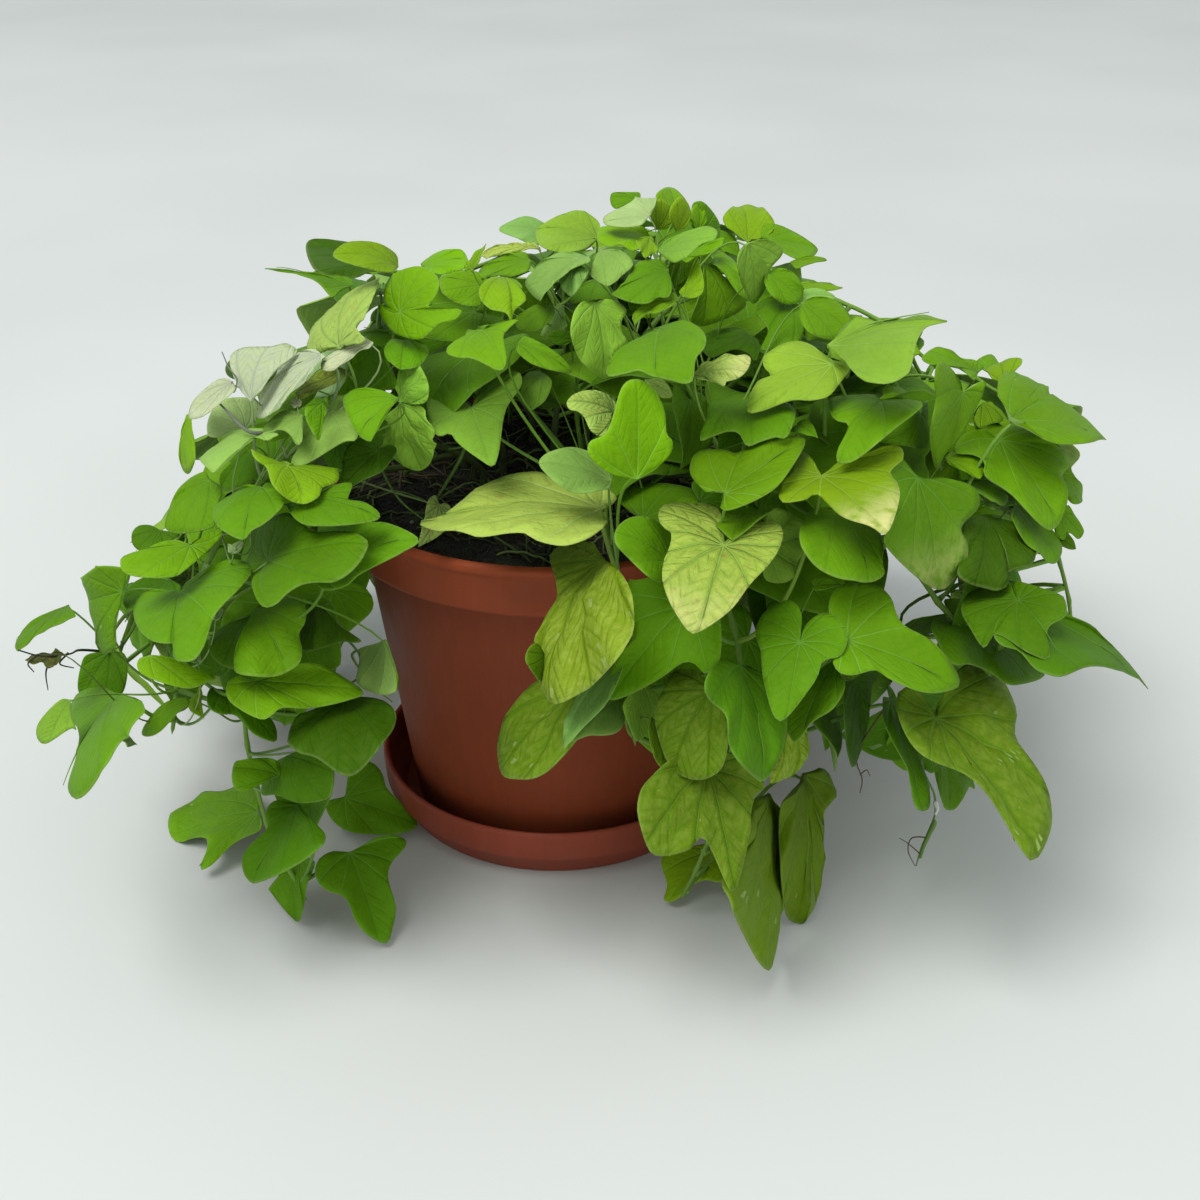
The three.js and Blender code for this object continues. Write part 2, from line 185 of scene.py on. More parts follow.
# Smooth noise from 0 to 1: random values at the corners of square cells, eased in between.
def cellNoise(x, y, cell, seed, size=64):
    lattice = np.random.default_rng(seed).random((size, size))
    column, row = np.floor(x / cell).astype(int), np.floor(y / cell).astype(int)
    across, upward = ease(x / cell - column, 0, 1), ease(y / cell - row, 0, 1)
    left, right = column % size, (column + 1) % size
    low, high = (
        lattice[left, level % size] * (1 - across) + lattice[right, level % size] * across
        for level in (row, row + 1)
    )
    return low * (1 - upward) + high * upward


# Joins parts into one piece, with its materials and the CAD nodes it replaces, and hangs it under the root
# body.
def addPiece(name, parts, materials, replaces=()):
    starts = np.cumsum([0] + [len(part["points"]) for part in parts])
    sheets = [
        (faces + start, places, material, smooth)
        for part, start in zip(parts, starts[:-1])
        for faces, places, material, smooth in part["sheets"]
    ]
    sizes = np.concatenate([np.full(len(faces), faces.shape[1]) for faces, *_ in sheets])
    mesh = bpy.data.meshes.new(name)
    mesh.vertices.add(int(starts[-1]))
    points = np.concatenate([part["points"] for part in parts])
    mesh.vertices.foreach_set("co", points.astype(np.float32).ravel())
    mesh.loops.add(int(sizes.sum()))
    corners = np.concatenate([faces.ravel() for faces, *_ in sheets])
    mesh.loops.foreach_set("vertex_index", corners.astype(np.int32))
    mesh.polygons.add(len(sizes))
    mesh.polygons.foreach_set("loop_start", (np.cumsum(sizes) - sizes).astype(np.int32))
    numbers = np.concatenate([np.full(len(faces), number) for faces, _, number, _ in sheets])
    mesh.polygons.foreach_set("material_index", numbers.astype(np.int32))
    mesh.update(calc_edges=True)
    soft = np.concatenate([np.full(len(faces), smooth) for faces, _, _, smooth in sheets])
    mesh.polygons.foreach_set("use_smooth", soft)
    flat = np.concatenate([places.reshape(-1, 2) for _, places, _, _ in sheets])
    mesh.uv_layers.new(name="flatMap").uv.foreach_set("vector", flat.astype(np.float32).ravel())
    for key, width in (("tint", 3), ("wear", 4)):
        values = np.ones((len(points), 4), np.float32)
        values[:, :width] = np.concatenate([part[key] for part in parts])
        mesh.attributes.new(key, "FLOAT_COLOR", "POINT").data.foreach_set("color", values.ravel())
    for material in materials:
        mesh.materials.append(material)
    piece = bpy.data.objects.new(name, mesh)
    scene.collection.objects.link(piece)
    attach(piece, "root")
    if replaces:
        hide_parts(*replaces)


def addNode(tree, kind, inputs=None, **settings):
    made = tree.nodes.new("ShaderNode" + kind)
    for key, value in settings.items():
        setattr(made, key, value)
    for key, value in (inputs or {}).items():
        if isinstance(value, bpy.types.NodeSocket):
            tree.links.new(value, made.inputs[key])
        else:
            made.inputs[key].default_value = value
    return made


def calc(tree, operation, *values):
    return addNode(tree, "Math", dict(enumerate(values)), operation=operation).outputs[0]


def product(tree, first, second):
    return calc(tree, "MULTIPLY", first, second)


# A value times a factor, plus an offset.
def scaled(tree, value, factor, offset):
    return calc(tree, "MULTIPLY_ADD", value, factor, offset)


# What is left of one after a value.
def rest(tree, value):
    return calc(tree, "SUBTRACT", 1.0, value)


def stretched(tree, place, factors):
    return addNode(tree, "VectorMath", {0: place, 1: factors}, operation="MULTIPLY").outputs[0]


def brightened(tree, colour, value, saturation=1.0):
    inputs = {"Color": colour, "Value": value, "Saturation": saturation}
    return addNode(tree, "HueSaturation", inputs).outputs[0]


def tintOf(tree):
    return addNode(tree, "Attribute", attribute_name="tint").outputs["Color"]


def flatMapOf(tree):
    return addNode(tree, "UVMap", uv_map="flatMap").outputs[0]


def connect(tree, node, values):
    for key, value in values.items():
        tree.links.new(value, node.inputs[key])


def easing(tree, value, low, high):
    inputs = {"Value": value, "From Min": low, "From Max": high}
    return addNode(tree, "MapRange", inputs, interpolation_type="SMOOTHSTEP").outputs["Result"]


def blend(tree, share, first, second, way="MIX"):
    return addNode(tree, "Mix", {0: share, 6: first, 7: second}, data_type="RGBA", blend_type=way).outputs[2]


def noiseAt(tree, place, scale, detail=3, roughness=0.55):
    inputs = {"Vector": place, "Scale": scale, "Detail": detail, "Roughness": roughness}
    return addNode(tree, "TexNoise", inputs).outputs[0]


# A node group with named sockets. Returns its tree, its input sockets by name, and its output node.
def newGroup(name, inputs, outputs):
    tree = bpy.data.node_groups.new(name, "ShaderNodeTree")
    for key, kind, value in inputs:
        socket = tree.interface.new_socket(name=key, in_out="INPUT", socket_type="NodeSocket" + kind)
        if value is not None:
            socket.default_value = value
    for key, kind in outputs:
        tree.interface.new_socket(name=key, in_out="OUTPUT", socket_type="NodeSocket" + kind)
    given = tree.nodes.new("NodeGroupInput")
    return tree, given.outputs, tree.nodes.new("NodeGroupOutput")


def addGroup(tree, group, inputs):
    return addNode(tree, "Group", inputs, node_tree=group).outputs


# A material with a Principled shader. Returns it with its tree, shader and Object coordinates.
def newMaterial(name, **constants):
    material = bpy.data.materials.new(name)
    material.use_nodes = True
    tree = material.node_tree
    shader = tree.nodes["Principled BSDF"]
    for key, value in constants.items():
        shader.inputs[key.replace("_", " ")].default_value = value
    return material, tree, shader, addNode(tree, "TexCoord").outputs["Object"]


def bumpTo(tree, shader, height, distance, raised=True):
    bump = addNode(tree, "Bump", {"Height": height, "Distance": distance}, invert=not raised)
    tree.links.new(bump.outputs[0], shader.inputs["Normal"])


# The veins of a blade on its flat map, in leaf lengths from the stalk. Ribs fan out from the stalk at even
# angles and bend towards the tip. Branches leave each rib forward, and a fine net fills the rest.
veinPattern = {"start": (0.5, 0.3), "scale": 0.65, "fan": 0.62, "bend": 0.3, "branchStep": 0.115, "net": 26}


def buildVeins():
    outputs = [(key, "Float") for key in ("Ribs", "Branches", "Between", "Height")]
    tree, given, out = newGroup("leafVeins", [("Map", "Vector", None)], outputs)
    start, scale, fan = veinPattern["start"], veinPattern["scale"], veinPattern["fan"]
    centred = addNode(tree, "VectorMath", {0: given["Map"], 1: (*start, 0)}, operation="SUBTRACT").outputs[0]
    flat = addNode(tree, "VectorMath", {0: centred, "Scale": 1 / scale}, operation="SCALE").outputs[0]
    axes = addNode(tree, "SeparateXYZ", {0: flat}).outputs
    reach = addNode(tree, "VectorMath", {0: flat}, operation="LENGTH").outputs["Value"]
    turn = calc(tree, "ABSOLUTE", calc(tree, "ARCTAN2", axes[0], axes[1]))
    bent = product(tree, turn, scaled(tree, reach, veinPattern["bend"], 1.0))
    share = calc(tree, "FRACT", scaled(tree, bent, 1 / fan, 0.5))
    offRib = product(tree, calc(tree, "SUBTRACT", share, 0.5), fan)
    away = product(tree, calc(tree, "ABSOLUTE", offRib), reach)
    width = calc(tree, "MAXIMUM", scaled(tree, reach, -0.01, 0.012), 0.003)
    ribs = rest(tree, easing(tree, calc(tree, "DIVIDE", away, width), 0.25, 1.3))
    forward = product(tree, calc(tree, "COSINE", offRib), reach)
    side = product(tree, calc(tree, "SINE", calc(tree, "ABSOLUTE", offRib)), reach)
    rung = calc(tree, "SUBTRACT", forward, product(tree, side, 0.85))
    rungShare = calc(tree, "FRACT", calc(tree, "DIVIDE", rung, veinPattern["branchStep"]))
    offBranch = product(tree, calc(tree, "ABSOLUTE", calc(tree, "SUBTRACT", rungShare, 0.5)),
                     veinPattern["branchStep"])
    thin = rest(tree, easing(tree, offBranch, 0.001, 0.006))
    branches = product(tree, thin, easing(tree, reach, 0.08, 0.2))
    cells = {"Vector": flat, "Scale": veinPattern["net"], "Randomness": 0.9}
    mesh = addNode(tree, "TexVoronoi", cells, voronoi_dimensions="2D", feature="DISTANCE_TO_EDGE").outputs[0]
    net = rest(tree, easing(tree, mesh, 0.02, 0.16))
    near = calc(tree, "MINIMUM", calc(tree, "DIVIDE", away, 0.05), scaled(tree, offBranch, 16.0, 0.42))
    between = easing(tree, near, -0.1, 1.0)
    height = scaled(tree, ribs, -0.5, scaled(tree, net, -0.12, between))
    connect(tree, out, {"Ribs": ribs, "Branches": branches, "Between": between, "Height": height})
    return tree


# Fine uneven colour: a wide mottle and a fine grain, as one brightness near 1.
def buildMottle():
    inputs = [("Place", "Vector", None), ("Scale", "Float", 60.0), ("Depth", "Float", 0.3)]
    tree, given, out = newGroup("mottle", inputs, [("Brightness", "Float"), ("Grain", "Float")])
    wide = noiseAt(tree, given["Place"], given["Scale"], 4, 0.6)
    fine = noiseAt(tree, given["Place"], product(tree, given["Scale"], 9.0), 2, 0.5)
    mixed = scaled(tree, fine, 0.3, product(tree, wide, 0.7))
    around = scaled(tree, calc(tree, "SUBTRACT", mixed, 0.5), given["Depth"], 1.0)
    connect(tree, out, {"Brightness": around, "Grain": fine})
    return tree


# Moulded plastic that has stood outside: streaks down the wall and dust up to a height. Above the band's foot
# # the colour is painted lighter as painted light, and near the lip lighter still as a painted highlight.
def buildPlasticWear():
    inputs = [("Place", "Vector", None), ("Colour", "Color", None), ("Dust", "Color", None),
              ("Dust top", "Float", 0.05), ("Painted light from", "Float", 1.0)]
    outputs = [("Colour", "Color"), ("Roughness", "Float"), ("Height", "Float")]
    tree, given, out = newGroup("plasticWear", inputs, outputs)
    streaks = noiseAt(tree, stretched(tree, given["Place"], (1.0, 1.0, 0.06)), 170, 3, 0.6)
    cloud = noiseAt(tree, given["Place"], 22, 4, 0.6)
    grain = noiseAt(tree, given["Place"], 1400, 2, 0.6)
    lift = scaled(tree, streaks, 0.24, scaled(tree, cloud, 0.3, 0.73))
    bright = brightened(tree, given["Colour"], lift)
    height = addNode(tree, "SeparateXYZ", {0: given["Place"]}).outputs[2]
    low = rest(tree, addNode(tree, "MapRange", {"Value": height, "From Max": given["Dust top"]}).outputs[0])
    dusty = product(tree, low, easing(tree, noiseAt(tree, given["Place"], 75, 5, 0.65), 0.42, 0.72))
    specks = easing(tree, noiseAt(tree, given["Place"], 420, 2, 0.5), 0.7, 0.78)
    dirt = calc(tree, "MINIMUM", scaled(tree, specks, 0.25, product(tree, dusty, 0.55)), 1.0)
    # Painted light: above the band's foot the colour is lighter, and near the lip lighter still as a painted
    # highlight.
    above = calc(tree, "SUBTRACT", height, given["Painted light from"])
    paler = scaled(tree, easing(tree, above, -0.0005, 0.001), 0.3,
                 scaled(tree, easing(tree, above, 0.028, 0.032), 0.3, 1.0))
    connect(tree, out, {
        "Colour": blend(tree, dirt, brightened(tree, bright, paler), given["Dust"]),
        "Roughness": scaled(tree, cloud, 0.22, scaled(tree, dirt, 0.25, 0.34)),
        "Height": scaled(tree, grain, 0.35, streaks),
    })
    return tree


leafVeins = buildVeins()
mottle = buildMottle()
plasticWear = buildPlasticWear()

# Colours are linear. A blade's own colour comes from its tint, and its wear holds four amounts: pale between
# the veins, nearness to the edge, dry spots, and fading towards the tip.
bladeLook = {
    "vein": 1.28, "paleColour": (0.42, 0.5, 0.09, 1), "fadedColour": (0.62, 0.6, 0.24, 1),
    "dryColour": (0.3, 0.15, 0.04, 1), "edgeColour": (0.5, 0.6, 0.22, 1), "underColour": (0.36, 0.47, 0.2, 1),
    "bump": 0.0011, "shine": 0.08,
}


# The upper face of a blade if under is 0, and its paler, duller underside if it is 1.
def buildBlade(name, under):
    material, tree, shader, place = newMaterial(name, IOR=1.42, Specular_IOR_Level=bladeLook["shine"])
    wear = addNode(tree, "Attribute", attribute_name="wear")
    pale, edge, dry = addNode(tree, "SeparateColor", {0: wear.outputs["Color"]}).outputs
    faded = wear.outputs["Alpha"]
    veins = addGroup(tree, leafVeins, {"Map": flatMapOf(tree)})
    uneven = addGroup(tree, mottle, {"Place": place, "Scale": 42.0, "Depth": 0.5})
    skin = brightened(tree, tintOf(tree), uneven["Brightness"])
    if under:
        skin = blend(tree, 0.4, skin, bladeLook["underColour"])
    lighter = brightened(tree, skin, bladeLook["vein"], 0.9)
    lines = calc(tree, "MAXIMUM", product(tree, veins["Ribs"], 0.8 - 0.1 * under),
                 product(tree, veins["Branches"], 0.22))
    veined = blend(tree, lines, skin, lighter)
    cloudy = easing(tree, noiseAt(tree, place, 170, 4, 0.62), 0.38, 0.66)
    patches = scaled(tree, cloudy, 0.65, 0.4)
    paleShare = product(tree, product(tree, pale, patches), veins["Between"])
    patched = blend(tree, paleShare, veined, bladeLook["paleColour"])
    rimmed = blend(tree, product(tree, easing(tree, edge, 0.96, 1.0), 0.12), patched, bladeLook["edgeColour"])
    fading = product(tree, faded, easing(tree, noiseAt(tree, place, 120), 0.2, 0.6))
    softened = blend(tree, fading, rimmed, bladeLook["fadedColour"])
    spots = product(tree, dry, easing(tree, noiseAt(tree, place, 160, 4, 0.65), 0.58, 0.66))
    connect(tree, shader, {
        "Base Color": blend(tree, spots, softened, bladeLook["dryColour"]),
        "Roughness": scaled(tree, uneven["Grain"], 0.14, 0.46 + 0.18 * under),
    })
    quilted = product(tree, veins["Height"], scaled(tree, pale, 1.1, 0.3))
    creased = product(tree, noiseAt(tree, place, 95), scaled(tree, pale, 1.8, 0.9))
    relief = scaled(tree, uneven["Grain"], 0.06, calc(tree, "ADD", quilted, creased))
    bumpTo(tree, shader, relief, bladeLook["bump"], raised=not under)
    return material


# Stems and leaf stalks: tinted skin with fine ridges along it.
def buildStem():
    material, tree, shader, place = newMaterial("stemSkin", Specular_IOR_Level=0.25)
    uneven = addGroup(tree, mottle, {"Place": place, "Scale": 140.0, "Depth": 0.6})
    connect(tree, shader, {
        "Base Color": brightened(tree, tintOf(tree), uneven["Brightness"]),
        "Roughness": scaled(tree, uneven["Grain"], 0.2, 0.4),
    })
    bumpTo(tree, shader, noiseAt(tree, stretched(tree, flatMapOf(tree), (1, 0.1, 0)), 14, 2), 0.0004)
    return material


plasticLook = {
    # The pot's band is painted lighter from the given height up, as painted light.
    "pot": {"Colour": (0.215, 0.043, 0.015, 1), "Dust": (0.1, 0.05, 0.03, 1), "Dust top": 0.09,
            "Painted light from": 0.2164},
    "saucer": {"Colour": (0.27, 0.056, 0.03, 1), "Dust": (0.17, 0.1, 0.07, 1), "Dust top": 0.035},
}


def buildPlastic(name):
    material, tree, shader, place = newMaterial(name + "Plastic", IOR=1.46, Specular_IOR_Level=0.16)
    worn = addGroup(tree, plasticWear, {"Place": place, **plasticLook[name]})
    connect(tree, shader, {"Base Color": worn["Colour"], "Roughness": worn["Roughness"]})
    bumpTo(tree, shader, worn["Height"], 0.0003)
    return material


# Loose dark potting mix: crumbs of several browns, with a few pale grains and scraps of green.
def buildSoil():
    material, tree, shader, place = newMaterial("pottingMix", Roughness=0.95)
    crumbs = addNode(tree, "TexVoronoi", {"Vector": place, "Scale": 420.0})
    shade = easing(tree, addNode(tree, "SeparateColor", {0: crumbs.outputs["Color"]}).outputs[0], 0.0, 1.0)
    brown = blend(tree, shade, (0.004, 0.0035, 0.0025, 1), (0.021, 0.016, 0.009, 1))
    grains = easing(tree, noiseAt(tree, place, 520, 2), 0.73, 0.76)
    speckled = blend(tree, product(tree, grains, 0.6), brown, (0.3, 0.27, 0.22, 1))
    moss = easing(tree, noiseAt(tree, place, 38, 4), 0.46, 0.66)
    green = blend(tree, product(tree, moss, 0.6), speckled, (0.03, 0.046, 0.012, 1))
    connect(tree, shader, {"Base Color": green})
    bumpTo(tree, shader, crumbs.outputs["Distance"], 0.003)
    return material


# Roots and crumbs: their own tints, unevenly mottled.
def buildRoot():
    material, tree, shader, place = newMaterial("rootBark", Roughness=0.85)
    uneven = addGroup(tree, mottle, {"Place": place, "Scale": 260.0, "Depth": 0.9})
    connect(tree, shader, {"Base Color": brightened(tree, tintOf(tree), uneven["Brightness"])})
    bumpTo(tree, shader, uneven["Grain"], 0.0004)
    return material


bladeTop = buildBlade("bladeTop", 0)
bladeUnder = buildBlade("bladeUnder", 1)
stemSkin = buildStem()
potPlastic = buildPlastic("pot")
saucerPlastic = buildPlastic("saucer")
pottingMix = buildSoil()
rootBark = buildRoot()
leafMaterials = [bladeTop, bladeUnder, stemSkin]
print("materials ready")

pot = {"rim": 0.150, "bandFoot": 0.146, "body": 0.1317, "base": 0.103, "wall": 0.003, "floor": 0.004,
       "band": 0.0358, "height": 0.2473, "lip": 0.003, "foot": 0.0043, "bead": 0.0016}
saucer = {"rim": 0.128, "wall": 0.0043, "step": 0.122, "foot": 0.115, "stepHeight": 0.018, "height": 0.040,
          "floor": 0.004, "bevel": 0.002}
soil = {"below": 0.014, "crown": 0.006, "flat": 0.1, "coarse": 0.005, "fine": 0.0025, "grain": 0.0012,
        "coarseCell": 0.022, "fineCell": 0.006, "grainCell": 0.0025, "inset": 0.0036, "foot": 0.0089,
        "edge": 0.1437}
moulding = {"potRounding": 0.0014, "saucerRounding": 0.0012, "longest": 0.012, "around": 160}
lipTop = pot["foot"] + pot["height"]
bandFoot = lipTop - pot["band"]


# Adds points along each long span of a profile, so that its faces stay short.
def subdivided(profile, longest):
    p = np.asarray(profile, float)
    counts = np.maximum(1, np.ceil(np.linalg.norm(np.diff(p, axis=0), axis=1) / longest).astype(int))
    spans = [np.linspace(a, b, n, endpoint=False) for a, b, n in zip(p[:-1], p[1:], counts)]
    return np.vstack([*spans, p[-1:]])


# The wall goes up from the base to the band's foot, steps out under the band, and ends in a rounded lip that
# stands a bead proud. Inside, a ledge follows the band.
def potProfile():
    wall, lip, bead = pot["wall"], pot["lip"], pot["bead"]
    rim, inner = pot["rim"], pot["rim"] - lip - wall
    return [
        (0.002, pot["foot"] + 0.001), (pot["base"] - 0.012, pot["foot"] + 0.001),
        (pot["base"] - 0.010, pot["foot"]), (pot["base"], pot["foot"]), (pot["body"], bandFoot + 0.0008),
        (pot["bandFoot"] - 0.001, bandFoot), (pot["bandFoot"] + 0.0002, bandFoot + 0.003),
        (rim - bead, lipTop - 0.009), (rim, lipTop - 0.0065), (rim, lipTop - 0.002), (rim - 0.003, lipTop),
        (inner + 0.0005, lipTop - 0.0008), (inner, lipTop - lip),
        (pot["bandFoot"] - wall, bandFoot + wall), (pot["body"] - wall, bandFoot + wall),
        (pot["base"] - wall, pot["foot"] + pot["floor"]), (0.002, pot["foot"] + pot["floor"]),
    ]


# The wall leans out to a step, then stands nearly upright to its rim. The floor has one low ring.
def saucerProfile():
    s, inside = saucer, saucer["rim"] - saucer["wall"]
    return [
        (0.002, 0.0008), (s["foot"] - 0.014, 0.0008), (s["foot"] - 0.012, 0), (s["foot"], 0),
        (s["step"], s["stepHeight"] - s["bevel"]), (s["rim"] - 0.0012, s["stepHeight"]),
        (s["rim"], s["height"] - s["bevel"]), (s["rim"] - s["bevel"], s["height"]),
        (inside, s["height"] - 0.001), (inside - 0.003, s["stepHeight"]), (s["foot"] - 0.003, s["floor"]),
        (0.095, s["floor"]), (0.094, s["floor"] + 0.00025), (0.090, s["floor"] + 0.00025),
        (0.089, s["floor"]), (0.002, s["floor"]),
    ]


# The height of the soil at any place: a low dome with lumps and crumbs, level with its edge at the wall.
def soilHeight(x, y):
    edge = lipTop - soil["below"]
    reach = np.hypot(x, y)
    dome = edge + soil["crown"] * ease(reach, 0.142, soil["flat"])
    lumps = soil["coarse"] * (cellNoise(x, y, soil["coarseCell"], 3) - 0.5)
    lumps = lumps + soil["fine"] * (cellNoise(x, y, soil["fineCell"], 4) - 0.5)
    grain = soil["grain"] * (cellNoise(x, y, soil["grainCell"], 5) - 0.5)
    return dome + lumps * ease(reach, 0.1435, 0.132) + grain


# The soil's sides follow the pot's inner face, and its top rows take the height of the lumps.
def soilRings(around=144):
    inset = soil["inset"]
    wall = [(0.003, soil["foot"]), (pot["base"] - inset, soil["foot"]),
            (pot["body"] - inset, bandFoot + inset), (pot["bandFoot"] - inset, bandFoot + inset),
            (0.1434, lipTop - soil["below"] - 0.004)]
    sides = turnedRings(wall, around)
    top = turnedRings(np.stack([np.linspace(soil["edge"], 0.001, 64), np.zeros(64)], -1), around)
    top[..., 2] = soilHeight(top[..., 0], top[..., 1])
    return np.concatenate([sides, top])


# A profile with rounded corners and short faces, turned into a closed wall.
def mouldedPart(profile, rounding):
    profile = subdivided(rounded(profile, rounding), moulding["longest"])
    return closedRings(turnedRings(profile, moulding["around"]))


saucerPart = mouldedPart(saucerProfile(), moulding["saucerRounding"])
potPart = mouldedPart(potProfile(), moulding["potRounding"])
addPiece("moulded_saucer", [saucerPart], [saucerPlastic], ["saucer"])
addPiece("moulded_pot", [potPart], [potPlastic], ["pot"])
addPiece("potting_mix", [closedRings(soilRings())], [pottingMix], ["soil"])
print("pot, saucer and soil made")

vine = {"footRadius": 0.0022, "tipRadius": 0.0013, "sides": 9, "step": 0.004, "node": 0.031, "nodeSwell": 0.3,
        "swellWidth": 0.0035, "kink": 0.0011, "soilGap": 0.0003, "rise": 0.016, "buried": 0.012,
        "buriedPoints": 5, "perches": 18, "ridges": 0.02, "green": (0.14, 0.27, 0.03),
        "brown": (0.05, 0.07, 0.02), "brownUntil": 0.55}

# Each vine leaves the soil at its root, straight up, and then follows these points. All in millimetres.
vineRoutes = {
    "vine_right": ((60, -5), [(110, -15, 298), (190, -25, 316), (275, -30, 285), (335, -35, 215),
                              (358, -38, 140)]),
    "vine_right_front": ((55, -45), [(108, -84, 280), (180, -135, 276), (240, -170, 225), (275, -185, 150),
                                     (288, -190, 75)]),
    "vine_front_right": ((28, -62), [(58, -118, 274), (92, -172, 262), (108, -208, 205), (100, -206, 130),
                                     (88, -190, 60), (80, -175, 20)]),
    "vine_front": ((16, -30), [(26, -92, 278), (34, -152, 266), (42, -196, 226), (46, -214, 165)]),
    "vine_left_front": ((-55, 5), [(-105, -18, 262), (-160, -48, 258), (-196, -84, 200), (-203, -115, 120),
                                   (-190, -142, 55), (-165, -165, 18)]),
    "vine_left_over": ((-48, -18), [(-98, -58, 300), (-150, -100, 312), (-192, -138, 284), (-222, -160, 222),
                                    (-236, -166, 150)]),
    "vine_left": ((-62, 28), [(-118, 10, 286), (-180, -8, 284), (-236, -34, 236), (-280, -62, 176),
                              (-306, -80, 112)]),
    "vine_left_back": ((-45, 55), [(-105, 115, 286), (-175, 160, 275), (-235, 190, 215), (-262, 205, 140),
                                   (-270, 210, 70)]),
    "vine_back_left": ((-15, 68), [(-50, 140, 290), (-75, 205, 272), (-90, 240, 210), (-95, 250, 135),
                                   (-98, 252, 60)]),
    "vine_back_right": ((30, 62), [(75, 130, 296), (115, 190, 283), (145, 228, 225), (155, 242, 150),
                                   (160, 246, 70)]),
    "vine_right_back": ((60, 35), [(120, 80, 300), (195, 115, 298), (265, 145, 245), (305, 160, 170),
                                   (318, 165, 95)]),
    "vine_top_left": ((-35, 18), [(-72, 34, 328), (-118, 52, 334), (-162, 62, 312), (-196, 62, 272)]),
    "vine_top_back": ((0, 18), [(6, 32, 345), (-10, 58, 378), (-50, 92, 365), (-95, 128, 330)]),
    "vine_top_right": ((36, 12), [(70, 30, 345), (130, 50, 365), (205, 60, 345), (275, 60, 295)]),
    "vine_top_front": ((20, -6), [(34, -24, 332), (60, -60, 348), (90, -105, 328), (115, -150, 290)]),
}

vineFoot = lipTop - soil["below"] + soil["crown"] + vine["soilGap"]


def vineCurve(name, count):
    (x, y), route = vineRoutes[name]
    foot = [(x / 1000, y / 1000, vineFoot), (x / 1000, y / 1000, vineFoot + vine["rise"])]
    return smoothThrough(foot + [tuple(c / 1000 for c in point) for point in route], count)


# A vine tapers to its tip and swells at its nodes, where it also kinks a little from side to side. It goes a
# little way down into the soil, and is brown at its foot and green towards its tip.
def vinePart(name, seed):
    rng = np.random.default_rng(seed)
    rough = vineCurve(name, 200)
    length = np.linalg.norm(np.diff(rough, axis=0), axis=1).sum()
    path = spaced(rough, int(length / vine["step"]))
    along = np.linspace(0, 1, len(path))
    fromNode = np.abs((along * length / vine["node"] + 0.5) % 1 - 0.5) * vine["node"]
    radii = vine["footRadius"] + (vine["tipRadius"] - vine["footRadius"]) * along
    radii = radii * (1 + vine["nodeSwell"] * np.exp(-((fromNode / vine["swellWidth"]) ** 2)))
    radii = radii * ease(along, 1.003, 0.985)
    kinks = rng.normal(0, vine["kink"], (int(length / vine["node"]) + 3, 3))
    kinks[:2] = 0
    stops = np.arange(len(kinks)) * vine["node"] / length
    path = path + np.stack([np.interp(along, stops, axis) for axis in kinks.T], -1)
    extra = vine["buriedPoints"]
    below = np.linspace(vine["buried"], 0.001, extra)[:, None] * np.array([[0, 0, -1]])
    path = np.vstack([path[:1] + below, path])
    radii = np.concatenate([np.full(extra, radii[0] * 1.1), radii])
    warm = ease(np.concatenate([np.zeros(extra), along]), vine["brownUntil"], 0.0)[:, None]
    green, brown = np.array([vine["green"]]), np.array([vine["brown"]])
    shade = (green * (1 - warm) + brown * warm) * rng.uniform(0.85, 1.15)
    part = tubePart(path, radii, vine["sides"], mapSize=(1, length / vine["ridges"]))
    part["tint"] = np.vstack([np.repeat(shade, vine["sides"], axis=0), shade[:1], shade[-1:]])
    return part


for seed, name in enumerate(vineRoutes):
    addPiece(name + "_grown", [vinePart(name, seed)], [stemSkin], [name])

# A leaf can sit at the middle of each step of a vine, past the first two.
perches = {"at": [], "direction": [], "vine": []}
for name in vineRoutes:
    knots = vineCurve(name, vine["perches"] + 1)
    perches["at"].append((knots[1:] + knots[:-1])[2:] / 2)
    perches["direction"].append(unit(knots[1:] - knots[:-1])[2:])
    perches["vine"] += [name] * (vine["perches"] - 2)
perches["at"], perches["direction"] = np.vstack(perches["at"]), np.vstack(perches["direction"])
print("vines grown:", len(vineRoutes))

# The crown is an ellipsoid of leaves over the pot. Each inner layer lies layerStep further in.
crown = {"middle": np.array([0.02, 0.01, 0.2]), "radii": np.array([0.405, 0.275, 0.238]), "layerStep": 0.035}
blade = {"thickness": 0.0005, "floorClear": 0.0035, "fine": (8, 32), "plain": (4, 20),
         "leastTurned": (0.45, 0.6), "usualFold": 0.16, "sag": 0.002, "lowest": 0.0016, "wrinkles": 7}
stalk = {"foot": 0.0017, "neck": 0.0011, "end": 0.0002, "drop": 0.045, "sides": 6, "plainSides": 5,
         "crowding": 0.014, "points": 12, "ribPoints": 9, "rib": (0.04, 0.86), "usualLeaf": 0.07,
         "lowest": 0.0012, "tint": (0.09, 0.16, 0.03)}

# How much a leaf's face turns up and out, and its tip out and down, where the sheet leaves a choice.
turned = {"up": 0.7, "out": 0.5, "tipOut": 0.25, "tipDown": 0.15}

# Each leaf draws its own share of these. A pair is a range, and a single number a spread or a chance.
nature = {"warmth": 0.05, "brightness": (0.88, 1.12), "fold": (0.06, 0.3), "bow": (0.03, 0.11),
          "roll": (0.05, 0.3), "wave": (0.015, 0.05), "waves": (3, 7), "twist": 0.14, "sway": 0.025,
          "lean": 0.05, "shouldered": 0.4}

